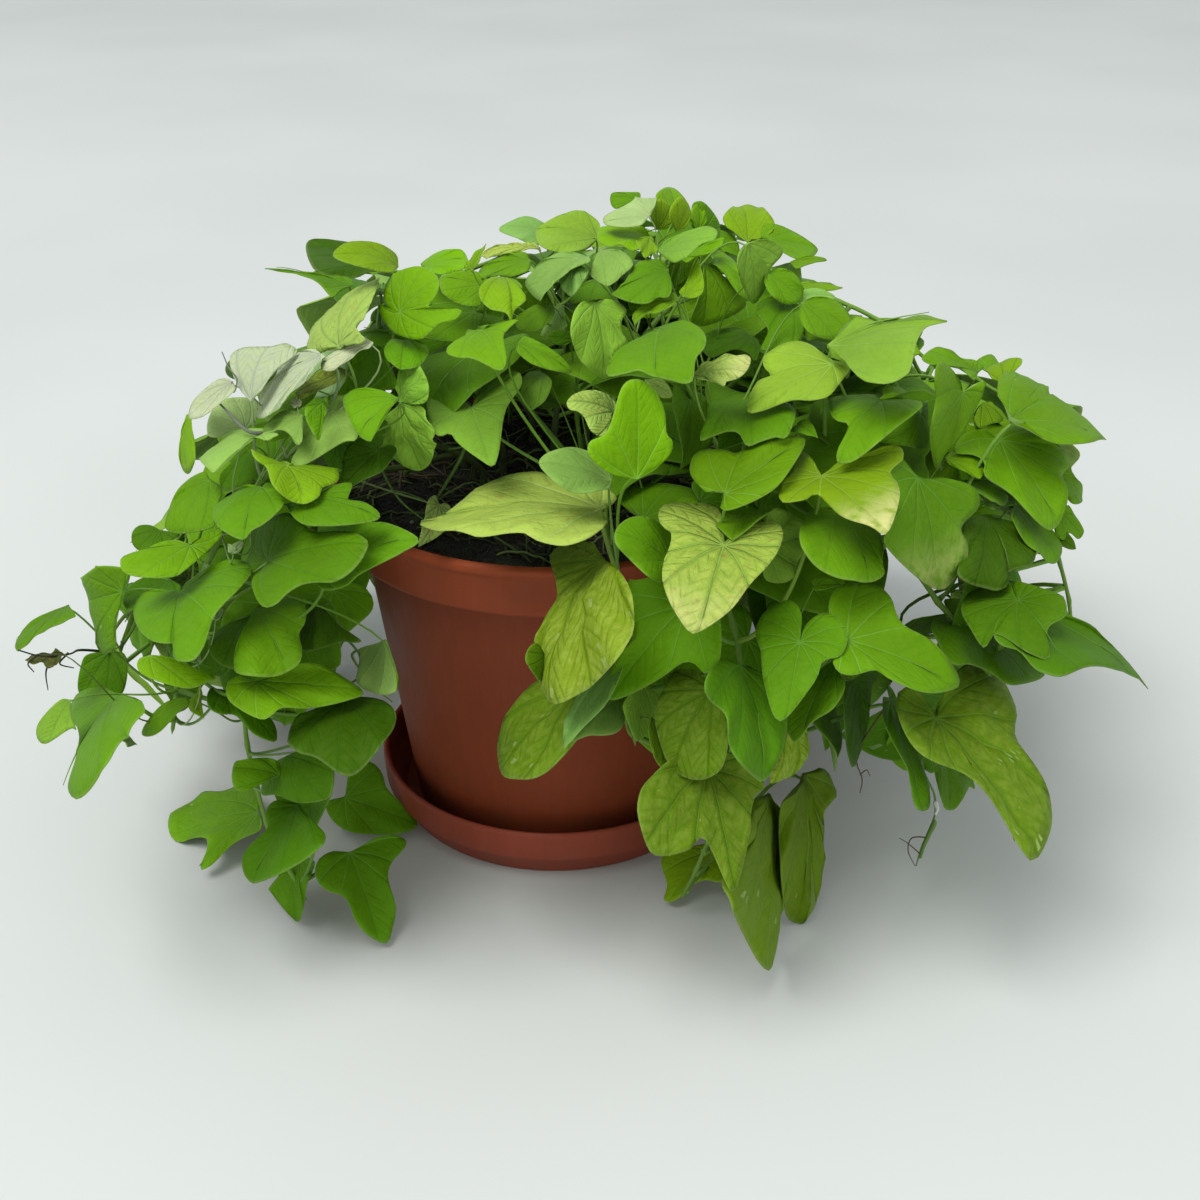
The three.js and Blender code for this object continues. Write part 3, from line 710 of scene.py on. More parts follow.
# Half of a blade's edge, from the stalk round a lobe to the tip, as (along, across): along in leaf lengths,
# and across in leaf widths. ratio is the width over the length.
outlines = {
    "heart": {"ratio": 1.0, "half": [
        (-0.012, 0), (-0.07, 0.026), (-0.17, 0.068), (-0.25, 0.145), (-0.265, 0.26), (-0.21, 0.38),
        (-0.08, 0.468), (0.09, 0.5), (0.28, 0.49), (0.45, 0.44), (0.62, 0.355), (0.77, 0.245),
        (0.88, 0.145), (0.955, 0.06), (1, 0)]},
    "shouldered": {"ratio": 1.0, "half": [
        (-0.012, 0), (-0.07, 0.03), (-0.16, 0.08), (-0.225, 0.17), (-0.225, 0.29), (-0.15, 0.405),
        (0.0, 0.475), (0.16, 0.5), (0.27, 0.482), (0.38, 0.43), (0.52, 0.38), (0.68, 0.3), (0.82, 0.19),
        (0.93, 0.08), (1, 0)]},
    "oval": {"ratio": 0.85, "half": [
        (-0.012, 0), (-0.05, 0.04), (-0.13, 0.1), (-0.18, 0.2), (-0.16, 0.31), (-0.06, 0.4), (0.12, 0.46),
        (0.3, 0.49), (0.46, 0.5), (0.62, 0.465), (0.76, 0.37), (0.88, 0.22), (0.96, 0.09), (1, 0)]},
    "winged": {"ratio": 1.25, "half": [
        (-0.012, 0), (-0.07, 0.035), (-0.2, 0.1), (-0.31, 0.2), (-0.35, 0.31), (-0.31, 0.42),
        (-0.19, 0.49), (-0.03, 0.49), (0.13, 0.44), (0.3, 0.37), (0.48, 0.31), (0.66, 0.25),
        (0.82, 0.165), (0.93, 0.08), (1, 0)]},
    "trident": {"ratio": 1.1, "half": [
        (-0.012, 0), (-0.055, 0.04), (-0.14, 0.09), (-0.19, 0.18), (-0.18, 0.3), (-0.08, 0.42),
        (0.07, 0.485), (0.21, 0.5), (0.31, 0.455), (0.36, 0.37), (0.41, 0.3), (0.5, 0.262), (0.63, 0.243),
        (0.77, 0.185), (0.89, 0.1), (0.96, 0.04), (1, 0)]},
    "lance": {"ratio": 0.55, "half": [
        (-0.01, 0), (-0.05, 0.06), (-0.1, 0.16), (-0.11, 0.28), (-0.05, 0.42), (0.08, 0.5), (0.26, 0.495),
        (0.45, 0.43), (0.65, 0.31), (0.82, 0.16), (0.93, 0.06), (1, 0)]},
}

# A blade's linear colour, how pale it is between its veins, and how crinkled and how dry it is.
tones = {
    "shade": {"tint": (0.03, 0.085, 0.0005), "pale": 0.03, "crinkle": 0.012, "dry": 0},
    "deep": {"tint": (0.055, 0.155, 0.001), "pale": 0.03, "crinkle": 0.012, "dry": 0},
    "mid": {"tint": (0.085, 0.22, 0.002), "pale": 0.04, "crinkle": 0.012, "dry": 0},
    "fresh": {"tint": (0.108, 0.262, 0.002), "pale": 0.04, "crinkle": 0.01, "dry": 0},
    "bright": {"tint": (0.142, 0.325, 0.001), "pale": 0.04, "crinkle": 0.007, "dry": 0},
    "lime": {"tint": (0.155, 0.295, 0.003), "pale": 0.06, "crinkle": 0.012, "dry": 0},
    "light": {"tint": (0.175, 0.33, 0.025), "pale": 0.06, "crinkle": 0.012, "dry": 0},
    # Painted reflection: the next two tints are paler and bluer than the blade's own colour, with a sky sheen
    # painted into them.
    "cool": {"tint": (0.2, 0.37, 0.07), "pale": 0, "crinkle": 0.01, "dry": 0},
    "frost": {"tint": (0.27, 0.4, 0.15), "pale": 0, "crinkle": 0.014, "dry": 0},
    "olive": {"tint": (0.09, 0.175, 0.001), "pale": 0.07, "crinkle": 0.018, "dry": 0.1},
    "speckled": {"tint": (0.09, 0.185, 0.001), "pale": 0.19, "crinkle": 0.03, "dry": 0.1},
    "mottled": {"tint": (0.145, 0.255, 0.001), "pale": 0.4, "crinkle": 0.03, "dry": 0.1},
    "crumpled": {"tint": (0.2, 0.42, 0.035), "pale": 0.12, "crinkle": 0.06, "dry": 0.1},
    "yellow": {"tint": (0.225, 0.32, 0.03), "pale": 0.6, "crinkle": 0.02, "dry": 0.35},
    "pale": {"tint": (0.31, 0.45, 0.075), "pale": 0.35, "crinkle": 0.026, "dry": 0.3},
    "cream": {"tint": (0.44, 0.49, 0.32), "pale": 0.3, "crinkle": 0.014, "dry": 0.1},
    "dull": {"tint": (0.16, 0.24, 0.055), "pale": 0.2, "crinkle": 0.03, "dry": 0.4},
    "withered": {"tint": (0.045, 0.055, 0.015), "pale": 0.1, "crinkle": 0.06, "dry": 0.7},
}

# Leaves of the front, a row each: the CAD node or a dash, and sheet places of the stalk's end, the tip and
# the widest point of each half. Then the layer, tone and shape. plane puts the stalk's end at that Y, a leaf
# that lies is moved along its line of sight until it touches the surface, and fade is how far its tip pales.
# After a colon comes the edge that shows on the sheet. A line that starts with a space goes on with the row
# before it.
leafRows = """
leaf_top_1 395,262 307,245 345,241 345,277 1 shade heart : 395,262 385,252 370,246 355,243 307,242 316,271
 345,277 358,277 370,272 392,268
- 398,266 334,254 370,242 378,268 0 lime lance : 398,266 398,258 394,252 378,243 355,241 343,244 333,255
 375,270 387,272 396,271
- 352,285 264,268 340,276 333,296 0.6 mid lance : 352,285 351,279 340,276 312,274 285,268 265,268 280,270
 316,281 333,297 340,290
leaf_top_2 338,346 378,273 309,338 366,330 0 pale heart : 338,346 316,353 308,350 307,338 311,325 318,314
 329,303 334,293 353,278 365,273 378,272 377,285 361,326 361,334 366,340
- 400,312 461,308 410,267 405,337 0 bright heart : 398,312 385,305 383,295 386,283 393,274 418,266 430,270
 438,278 438,290 428,309 461,305 460,314 452,321 440,323 421,339 408,338 396,334 386,325 380,314 378,303
- 425,268 468,258 450,248 440,277 1 bright heart : 425,268 418,262 415,256 452,249 462,250 467,257 468,266
 447,273 438,274
- 485,285 440,278 470,265 470,301 1 fresh heart : 485,285 483,275 475,271 465,270 445,275 440,280 441,290
 447,297 455,302 470,306 480,305 484,298
- 470,268 486,242 474,252 486,256 0.3 lime lance
- 505,277 515,317 481,293 542,295 0 lime heart : 505,277 495,276 485,281 479,290 481,300 490,307 508,313
 514,318 519,311 541,297 538,291 528,288 518,288
- 530,260 475,274 505,249 500,287 0.7 fresh heart : 530,260 527,253 515,252 503,254 483,266 478,273 480,278
 500,275 512,276 530,268
- 405,340 405,368 385,352 427,352 0.6 fresh heart : 405,340 395,337 387,343 384,352 388,361 397,367 406,368
 418,366 425,360 429,352 424,343 415,339
- 372,345 348,392 350,360 396,378 1.3 mid heart : 372,345 362,345 355,352 350,362 350,375 345,385 335,395
 365,390 395,388 397,380 390,370 383,348
- 398,398 358,440 344,402 385,425 0 fresh heart : 398,398 392,394 372,388 360,388 350,391 344,396 343,402
 355,430 362,438 370,441 375,437 383,418
- 400,404 418,470 383,428 435,425 0 crumpled heart plane=-0.13 : 400,404 391,411 383,421 380,432 384,447
 393,458 417,471 427,467 433,455 436,440 433,428 426,419 424,409 412,404
- 400,402 408,357 397,380 428,385 0.2 crumpled heart plane=-0.128 : 400,402 397,390 398,378 404,358 408,355
 414,358 428,385 425,402 412,404
leaf_top_3 472,407 493,466 428,398 521,372 0 light trident plane=-0.12 : 472,407 448,393 433,392 427,400
 428,418 433,432 440,436 450,433 456,441 478,458 493,466 498,455 506,409 522,383 520,373 507,371 492,377
 480,389
- 550,232 499,228 530,216 537,245 1 cool heart : 550,232 545,224 535,218 525,216 515,219 499,229 518,238
 536,245 545,240
- 598,238 538,228 575,211 570,251 1 light heart : 598,238 600,225 593,217 583,212 573,211 537,229 536,237
 540,245 550,250 562,252 588,248
leaf_top_4 578,258 538,300 538,262 556,283 0 cool heart : 578,258 570,252 560,252 538,264 530,273 525,283
 528,290 540,300 546,292 570,270 590,260 588,256
- 578,265 571,296 560,278 588,273 0 cool heart : 578,265 560,277 560,285 565,292 571,296 577,290 586,276
 588,270 583,266
- 600,250 605,283 585,270 633,266 0 cool heart : 600,250 595,255 595,262 588,268 590,275 608,284 622,275
 633,264 630,257 622,251 610,249
- 650,215 603,220 640,193 635,227 0 frost heart : 650,215 655,205 656,196 648,192 638,192 633,200 603,218
 605,224 640,225
- 640,200 610,195 630,190 625,205 1 mid lance : 640,200 640,193 630,192 620,192 612,193 610,198 612,206
 618,209 633,202
- 675,218 668,187 655,196 689,206 1 fresh heart : 675,218 665,212 658,203 656,195 662,189 670,187 677,190
 689,205 691,215 688,222 682,222
- 700,234 722,226 697,202 700,245 0.6 mid heart : 700,234 693,225 692,212 694,203 700,201 706,204 719,222
 720,235 716,245 708,243
leaf_top_6 658,251 717,230 690,224 690,257 0 light heart : 658,251 662,243 696,228 708,226 717,231 714,239
 702,243 684,258 674,262 664,257
- 680,258 725,238 700,240 705,254 1 bright heart : 680,258 688,252 698,245 710,240 722,236 722,244 704,255
 695,257 686,262
- 650,237 645,258 637,240 656,250 0 lime lance : 650,237 642,237 636,240 640,248 645,257 652,254 658,250
 655,243
- 668,270 611,293 635,261 667,299 0 mid heart : 668,270 665,262 655,259 645,260 636,264 620,288 610,292
 628,301 648,303 658,297 668,297 672,288
- 683,297 697,256 679,288 703,290 0 lime lance : 683,297 679,292 685,284 694,262 697,256 700,265 704,286
 701,294 693,298
- 678,298 635,320 655,295 668,309 0 lime lance : 678,298 675,293 665,292 652,298 636,310 632,318 637,325
 640,318 648,313 656,313 674,304
- 595,303 603,378 570,335 628,322 0 light heart : 595,303 584,301 576,309 572,321 571,334 578,356 586,366
 606,379 612,370 612,357 628,342 622,332 622,320 627,311 618,302 606,299
- 518,342 572,372 550,343 538,368 0 fresh lance : 518,342 522,336 553,350 568,364 572,372 562,372 538,366
 528,361 516,349
- 482,330 505,368 441,345 513,323 0 fresh heart : 482,330 472,322 466,330 465,342 452,341 441,345 445,352
 458,357 472,358 495,368 508,368 518,360 522,350 516,328 510,320 497,319
- 545,374 522,400 515,382 549,393 2 light heart : 545,374 552,380 545,400 538,405 530,408 524,403 520,395
 525,375 535,370
- 613,412 567,404 595,390 603,436 0 pale heart : 612,412 616,405 612,398 605,393 595,390 583,391 573,395
 567,402 570,409 578,411 584,416 592,431 603,436 610,422
- 637,479 635,382 590,454 673,440 0 bright heart : 637,479 612,474 591,458 588,450 590,442 606,433 622,388
 628,381 638,379 647,383 655,390 665,412 667,434 672,440 673,447 669,456 645,477
- 611,480 539,460 565,444 580,494 1 cool heart : 612,488 582,493 570,491 547,474 539,462 544,455 558,449
 573,447 590,452 612,470
leaf_top_5 660,328 655,378 607,370 706,338 0 fresh heart : 655,314 649,309 643,313 638,341 624,346 614,353
 607,376 640,374 690,379 697,358 704,348 706,337 700,328 688,321 664,314
- 693,374 752,357 725,349 720,387 0 pale heart fade=0.6 : 693,374 710,358 720,352 732,350 743,352 750,357
 750,363 745,372 737,378 728,381 721,387 715,381 696,378
- 748,242 747,202 722,220 774,226 1 lime heart : 748,242 727,227 723,218 727,211 735,205 745,202 755,203
 765,209 775,226 755,243
- 770,240 818,250 790,231 797,264 1 fresh heart : 770,240 762,236 765,225 775,224 805,238 818,250 812,257
 803,260 783,252
- 790,262 827,260 805,253 808,267 1 fresh lance : 790,262 796,268 806,265 816,262 827,260 820,256 812,256
 800,258
leaf_top_7 748,244 753,303 737,275 782,250 0 light heart : 748,244 742,248 738,257 738,268 746,292 754,304
 762,295 768,283 770,270 783,253 780,246 770,240 758,240
- 715,258 748,300 708,276 744,262 1 fresh heart : 715,258 708,252 712,248 732,258 738,266 749,301 741,296
 720,268 711,261
- 795,285 843,287 815,281 815,292 1 lime lance : 795,285 805,282 818,282 832,284 843,287 832,290 818,290
 806,290
- 795,297 833,296 815,288 815,306 1 cool lance : 795,297 803,290 815,288 827,291 835,297 827,304 815,307
 803,306
- 790,300 765,335 757,303 805,325 1 mid heart : 790,300 782,295 772,296 762,300 757,305 757,313 768,330
 760,350 763,362 772,360 800,342 804,315 800,303
leaf_right_7 835,305 805,338 800,312 850,325 1 mid heart : 835,305 825,303 812,305 803,310 802,322 804,335
 808,340 830,333 850,330 850,322 840,308
leaf_right_6 828,345 945,312 855,317 868,380 0 light heart : 828,345 835,337 845,333 850,322 850,316 862,317
 888,324 933,318 945,311 925,328 918,338 903,380 852,376 850,366 845,360 835,358 825,352
- 832,364 748,411 790,342 838,394 0 light heart : 828,362 816,345 802,340 787,342 773,349 763,358 764,367
 771,375 759,380 752,390 748,402 748,412 760,411 792,400 812,400 828,396 838,385 851,365 840,368
- 750,335 703,345 725,326 730,353 2 deep heart : 750,335 740,328 725,328 712,331 702,337 703,350 710,357
 735,349 748,353 755,360 760,350 758,340
- 880,400 840,459 829,412 922,403 0 fresh heart : 880,400 868,385 850,380 840,385 831,395 829,410 836,420
 848,424 838,450 837,461 850,462 895,428 923,403 910,399
- 978,372 930,352 940,345 945,373 1 fresh heart : 978,372 984,367 975,360 962,358 940,346 922,358 930,364
 945,368 960,367 975,380
- 1003,385 986,372 1018,359 990,381 1 lime heart : 1003,385 997,378 990,381 986,372 989,364 1010,358 1022,359
 1024,366 1012,372
- 963,393 937,469 938,371 984,366 0 fresh heart : 963,393 955,368 948,362 938,364 935,380 936,400 930,437
 937,470 943,458 960,437 983,392 985,378 980,376 973,388
leaf_right_3 1010,421 1112,433 1012,362 1045,442 0 fresh heart : 1010,421 1002,409 998,395 999,380 1008,369
 1022,364 1034,371 1045,381 1060,402 1090,411 1103,420 1113,431 1108,437 1092,442 1072,444 1056,443 1024,430
leaf_right_4 1000,440 1052,530 1070,460 984,477 1 fresh heart : 1000,440 985,430 968,432 957,442 955,452
 975,455 985,462 984,474 1010,493 1052,530 1068,500 1067,485 1062,475 1070,465 1066,453 1058,445 1022,428
 1010,425
- 1060,475 1081,503 1071,462 1066,500 1 fresh heart : 1060,475 1068,463 1073,474 1080,486 1084,497 1079,504
 1070,502 1065,490
- 1060,512 1083,532 1075,510 1062,537 1 fresh heart : 1060,512 1068,505 1075,515 1081,524 1084,532 1079,539
 1070,533 1063,540 1055,530
- 1058,537 1076,549 1072,536 1062,551 1 deep heart
- 945,458 982,478 986,457 958,471 1 bright heart : 945,458 950,452 965,454 980,456 987,462 985,470 980,478
 965,471 950,464
leaf_right_5 918,478 941,589 980,500 884,535 0 mid trident fade=0.35 : 918,478 908,462 897,458 888,470
 899,495 895,512 884,540 890,551 941,590 961,569 968,556 968,545 961,528 979,507 979,495 972,486 930,476
- 985,515 1000,588 1036,556 960,545 1 shade heart : 985,515 1000,525 1015,515 1035,545 1036,555 1032,564
 1010,571 1004,577 1010,582 1000,590 985,588 958,575 967,545 962,530 968,520
- 1015,505 1058,560 1063,535 1030,552 1 mid heart : 1015,505 1012,515 1018,530 1028,545 1040,553 1048,562
 1056,563 1062,552 1060,540 1028,507
leaf_left_5 250,400 296,350 233,362 288,388 0 cream heart : 250,400 241,391 230,366 231,355 241,348 272,346
 286,343 297,351 275,370 258,394
- 322,355 262,418 285,362 297,390 0 cream heart : 322,355 315,349 295,353 283,361 272,373 256,400 254,410
 258,418 266,417 287,398 318,363
- 372,342 320,367 350,334 345,363 0 cream heart : 372,342 366,337 360,336 328,355 321,363 322,369 330,371
 340,366 360,350 370,347
- 245,428 208,436 225,400 238,437 1 frost heart : 245,428 255,422 258,410 255,400 228,398 217,403 208,420
 207,430 209,436 220,437
- 262,433 216,474 197,447 245,449 0 cool heart : 264,436 272,432 260,428 198,440 196,447 197,455 203,464
 218,473 226,468 247,438 256,437 266,440 278,434 283,428
- 190,413 188,476 179,450 200,455 1 lime lance : 186,415 180,437 178,450 180,462 184,472 188,474 193,465
 195,455 190,420
- 210,480 165,527 178,495 217,525 1 mid heart : 210,480 205,472 195,475 185,482 176,492 166,518 165,528
 175,533 203,530 214,525 214,512 222,492 218,482
- 255,445 226,480 235,455 268,478 2 deep heart : 255,445 248,438 237,458 220,475 222,490 230,490 255,478
 263,478 268,485 270,473 254,453
leaf_left_4 288,466 303,503 253,441 338,478 0 lime heart : 288,466 266,443 258,440 252,445 252,453 258,461
 266,466 273,485 290,500 300,503 312,502 320,495 322,488 338,481 338,470 333,462 308,467
- 330,412 291,464 300,418 358,438 1 cool heart : 330,412 328,403 335,395 343,398 352,422 358,432 355,440
 345,441 302,465 291,463 303,438 302,425 305,415
- 322,403 318,440 306,412 325,425 0 mid lance : 322,403 314,404 306,408 306,417 310,427 319,440 322,430
 324,420 327,410
- 302,415 265,436 285,410 290,438 0.3 cool heart : 302,415 295,411 283,411 275,415 262,432 282,430 290,435
 297,445 303,438
- 262,487 243,538 213,508 284,503 0 fresh heart : 262,487 250,484 227,492 217,500 213,510 215,522 222,530
 243,539 252,530 263,524 281,508 284,498 268,480
- 312,497 380,517 350,484 310,524 0 mid heart : 312,497 330,486 352,483 348,500 360,500 370,503 380,517
 308,525 297,520 290,512 285,500 295,503 305,503
leaf_left_3 268,560 367,545 290,520 258,605 0 deep heart : 264,576 246,580 243,588 248,598 257,605 268,607
 277,603 287,593 300,585 315,582 332,582 345,576 357,565 365,553 368,542 360,535 345,531 313,531 295,515
 283,513 243,539 240,552 243,565
- 322,570 417,540 345,523 345,592 0.3 mid heart : 322,570 316,582 322,589 335,589 348,584 358,575 402,552
 419,540 388,523 370,522 312,526 312,531 320,545
- 190,545 121,560 150,527 180,578 0 fresh heart : 190,545 223,526 222,535 186,569 175,576 135,576 123,571
 120,562 124,553 135,547 148,551 158,543 172,540 182,541
- 160,530 133,560 135,527 167,548 1 deep heart : 160,530 150,525 138,526 132,533 133,545 142,552 150,554
 158,547 180,534
- 180,592 172,660 134,612 250,568 0 mid heart : 180,592 157,589 143,593 134,603 134,618 141,632 153,641
 168,643 178,640 170,648 167,658 180,661 193,660 203,647 215,614 241,586 252,570 246,562 230,559 213,564
 198,573
- 170,580 124,598 140,575 162,602 1 deep heart : 170,580 158,576 145,577 133,583 125,593 123,603 130,610
 155,595 170,590 180,592 180,585
leaf_front_1 600,508 418,522 535,470 550,547 0 pale heart plane=-0.165 : 607,508 617,497 608,489 582,493
 566,490 555,483 546,474 525,472 505,476 480,487 440,516 418,522 435,530 455,530 480,536 520,532 540,541
 564,545 582,540 597,532 608,521
leaf_front_2 602,560 554,702 538,650 633,620 0 mottled heart plane=-0.19 : 606,556 600,545 575,540 551,545
 549,555 557,595 540,628 537,653 540,677 545,695 553,704 576,695 593,684 631,636 633,606 628,585 615,565
- 725,493 805,438 698,449 768,491 0 fresh heart : 718,498 712,496 696,482 690,473 690,464 694,455 703,450
 728,450 734,453 767,440 805,438 789,471 771,491 724,510 719,505
- 745,515 728,541 718,508 771,502 0.7 fresh heart
leaf_front_3 724,545 693,631 658,508 783,530 0 yellow heart fade=0.5 : 723,535 720,510 713,505 699,503
 665,504 658,512 662,526 671,532 670,545 664,560 662,575 665,590 674,610 692,633 700,631 723,616 734,606
 751,583 769,564 778,551 782,541 783,531 779,524 772,519 760,518 747,521 731,539
- 672,562 614,531 648,516 660,583 1 fresh heart : 672,572 660,582 626,555 616,543 615,533 620,524 629,518
 638,516 652,518 664,527 676,540 678,553
- 765,545 813,535 775,510 777,583 0.6 light heart : 764,535 764,520 775,508 808,525 814,534 812,544 797,564
 801,568 796,575 787,582 774,583 764,579 760,574 764,560
- 745,400 752,445 702,438 789,430 1 mid heart : 738,396 727,392 715,397 708,404 707,416 700,440 713,438
 727,432 737,432 742,441 748,445 774,438 786,438 795,410 785,402
- 690,400 680,470 665,430 711,450 1.5 deep heart
- 797,425 815,441 812,428 797,440 0.6 fresh lance
- 822,476 886,533 780,500 903,452 0 lime heart fade=0.9 : 819,471 803,451 789,474 779,485 781,501 796,501
 808,498 815,493 842,516 871,526 885,534 900,494 897,482 890,472 904,457 901,448 892,443 881,442 853,461
 839,461 828,471
- 835,510 870,582 802,555 890,560 1 mid heart : 828,508 818,507 806,515 800,530 801,545 816,566 839,578
 874,581 887,571 881,564 884,552 882,540 876,530 860,520
leaf_front_5 800,642 780,720 756,632 847,645 0 mid heart : 801,630 802,618 800,609 795,603 788,600 767,610
 760,618 756,629 756,638 760,648 764,683 779,721 810,688 818,675 823,661 840,656 846,647 848,636 843,625
 836,617 827,613 815,616
- 848,640 958,688 872,584 845,675 0 fresh heart : 843,634 832,622 829,605 833,592 840,585 869,583 883,589
 892,599 896,612 903,624 931,640 942,651 959,677 959,686 951,690 935,693 919,691 887,677 877,670 853,675
 841,673 835,667 833,658 840,648
leaf_front_4 685,605 610,699 630,600 716,668 1 fresh heart : 692,592 684,578 665,574 637,580 628,580 628,600
 634,636 620,654 611,672 607,692 608,700 624,697 659,679 685,662 695,664 705,674 713,670 719,662 720,620
 714,606
- 815,585 842,584 830,578 830,590 1 fresh lance
- 122,592 70,600 95,570 118,648 0 fresh heart : 125,590 125,578 118,566 105,563 78,580 68,590 69,603 76,620
 84,627 84,640 64,650 62,657 90,655 118,650 122,640 120,620 121,600
leaf_left_1 68,605 16,645 30,618 50,628 0 mid lance : 68,605 36,618 27,625 15,645 17,651 24,648 36,635 76,622
 74,612
- 62,652 20,660 40,645 42,664 0.6 withered lance plane=-0.225 : 62,652 55,650 50,655 42,650 38,656 30,652
 25,658 32,664 42,662 47,668 55,665 60,660
leaf_left_2 118,695 75,797 68,715 148,697 0 fresh trident : 118,695 105,687 90,688 78,693 71,705 70,718
 78,729 79,742 68,790 75,799 84,795 107,766 122,741 135,734 142,724 148,693 127,702
- 110,652 86,690 84,660 122,684 1.2 deep heart : 110,652 97,652 85,656 81,665 78,690 85,700 115,700 124,690
 127,660 122,652
- 70,700 45,742 40,722 60,738 0.6 light lance plane=-0.22 : 70,700 62,699 39,722 36,732 38,740 44,744 70,729
 78,728 71,720 69,710
- 150,655 220,672 165,653 160,682 0 bright lance : 150,655 142,656 137,663 139,671 148,677 175,686 190,688
 203,684 222,672 195,663 167,660 160,654
- 186,697 145,736 155,706 168,724 0.8 mid heart : 185,697 170,700 158,708 143,728 142,735 150,736 160,731
 178,712 190,702
- 195,695 210,716 208,696 194,712 0.8 lime lance
- 258,681 362,692 232,640 262,717 0 fresh heart : 258,681 250,675 238,676 228,682 226,692 231,702 263,719
 272,715 280,708 310,708 348,700 364,693 342,676 328,668 312,663 298,664 272,678
- 255,608 300,668 213,640 306,618 1 mid heart : 255,608 248,625 238,636 233,648 232,662 236,672 255,676
 275,676 290,670 300,662 302,648 299,634 305,622 306,610 300,598 285,594
- 320,605 362,632 305,655 330,600 1.3 shade heart : 320,605 328,614 364,636 355,642 342,642 315,650 303,651
 300,640 300,628 306,618 310,603
- 385,640 375,700 357,668 397,662 1.2 bright heart under=1 : 385,643 365,645 358,650 360,660 357,680 362,688
 385,695 397,690 398,680 390,650
leaf_left_6 345,700 350,775 283,730 396,722 1 shade heart : 345,700 330,706 312,709 297,707 288,714 283,727
 287,742 298,752 315,757 350,776 385,740 394,727 396,714 388,703 375,698 360,697
- 225,690 277,740 207,705 262,705 0.6 deep heart : 225,690 213,686 208,692 207,702 212,710 222,714 232,714
 240,718 246,727 256,735 276,741 277,730 275,718
- 280,775 235,765 250,752 255,796 0.7 mid heart : 280,775 278,762 270,758 240,760 235,762 232,778 235,788
 243,792 253,793 268,778
- 290,755 328,795 325,752 288,800 1 deep heart : 290,755 300,750 327,750 332,762 332,790 328,798 300,803
 275,795 262,795 262,783 275,762
leaf_floor_1 258,812 200,869 170,820 235,830 0 fresh trident lies=1 : 258,812 262,798 252,788 238,786 222,791
 205,791 190,795 178,803 170,814 168,826 172,838 180,842 192,838 206,838 207,848 200,869 208,867 235,842
 262,827
- 298,805 250,882 250,840 334,832 0 deep heart plane=-0.182 : 298,805 285,800 272,802 266,812 268,825 263,835
 252,843 244,853 242,865 245,876 252,883 262,881 285,871 308,857 332,835 334,827 327,822 316,823 305,820
- 300,855 298,922 264,880 313,872 1 mid heart lies=1 : 300,860 290,868 265,879 268,888 290,916 298,922
 302,913 308,880 312,872 314,860 308,857
- 345,797 420,825 360,762 335,832 0 mid heart lies=1 : 352,799 347,785 350,770 360,761 373,763 382,773
 387,788 409,810 418,823 412,830 396,834 355,833 340,827 330,817 326,806 334,798
leaf_floor_2 350,852 387,943 316,862 410,848 0 mid trident lies=1 : 358,858 347,852 333,851 320,858 315,870
 318,882 328,891 343,896 350,906 356,921 368,935 387,943 393,927 396,908 388,876 391,864 407,843 400,836
 385,835 370,837 365,850
leaf_right_1 936,718 1034,862 903,738 1010,683 0 speckled heart : 931,709 922,693 905,687 898,693 897,706
 900,720 908,738 919,752 933,761 967,775 988,795 1022,850 1032,861 1037,859 1047,841 1052,823 1051,802
 1046,784 1036,766 1016,738 1015,727 1017,713 1007,686 999,674 988,667 974,664 962,665 950,675 944,692
 942,706
leaf_right_2 1020,608 1146,680 1058,594 1042,674 0 deep heart : 1010,602 1000,594 1001,581 1017,582 1054,592
 1064,597 1069,615 1093,629 1109,642 1146,680 1118,670 1100,666 1086,667 1061,677 1047,674 1035,668 1020,651
 1004,645 996,635 998,620 1008,612
- 1018,600 1048,660 985,640 1066,608 -0.1 deep heart : 1018,600 1012,582 1042,588 1064,598 1066,615 1048,628
 1049,659 1031,654 994,634 985,648 970,628 961,608 972,588 1006,581
- 1000,575 945,650 945,590 1000,640 1.3 deep heart
- 955,625 1005,684 935,640 1038,672 1.2 deep heart : 953,620 942,594 953,581 972,583 990,600 1020,645
 1035,660 1045,675 1013,685 1006,683 990,672 970,664 953,664 936,638 931,625 940,615
- 890,700 922,810 880,740 927,765 1 deep lance : 893,690 887,684 884,720 908,770 912,786 913,802 917,809
 928,810 930,790 925,765 905,725 900,705
- 935,745 950,810 928,770 970,775 1 deep heart : 930,752 943,803 946,809 953,810 959,805 973,772 962,765
 948,758 940,750
- 855,680 853,768 843,720 872,700 1.3 shade lance : 850,676 846,681 844,702 848,754 853,768 860,754 869,715
 872,688 876,671
leaf_front_6 708,768 735,900 637,812 752,800 0 speckled heart : 705,758 690,752 675,756 651,777 642,788
 638,802 638,814 650,851 657,856 689,850 702,837 733,893 738,884 751,826 751,814 757,793 764,790 765,784
 730,752 715,752
- 712,690 672,772 655,705 725,735 0.4 speckled heart : 705,680 697,671 685,669 674,671 662,690 655,718
 661,746 667,761 680,775 700,780 720,770 728,745 726,716
- 740,665 763,782 703,690 787,707 0.3 deep heart : 741,664 730,657 721,660 711,670 706,679 705,690 710,700
 726,715 729,742 733,753 743,766 757,779 763,782 778,761 786,735 787,715 785,695 778,682 765,674
- 835,660 800,740 780,690 843,690 0.6 mid heart : 830,661 823,663 816,680 805,695 783,712 787,730 795,742
 812,722 834,707 845,681
- 790,705 772,785 760,740 812,745 0.8 mottled heart : 786,712 788,725 778,762 764,782 778,781 795,774 810,751
 810,740 806,731 815,710 806,700 797,699
leaf_floor_4 712,850 665,902 663,862 712,880 1 lime heart lies=1 : 706,843 662,857 667,886 664,900 670,902
 678,898 697,882 709,880 716,882 724,880 724,866 718,856
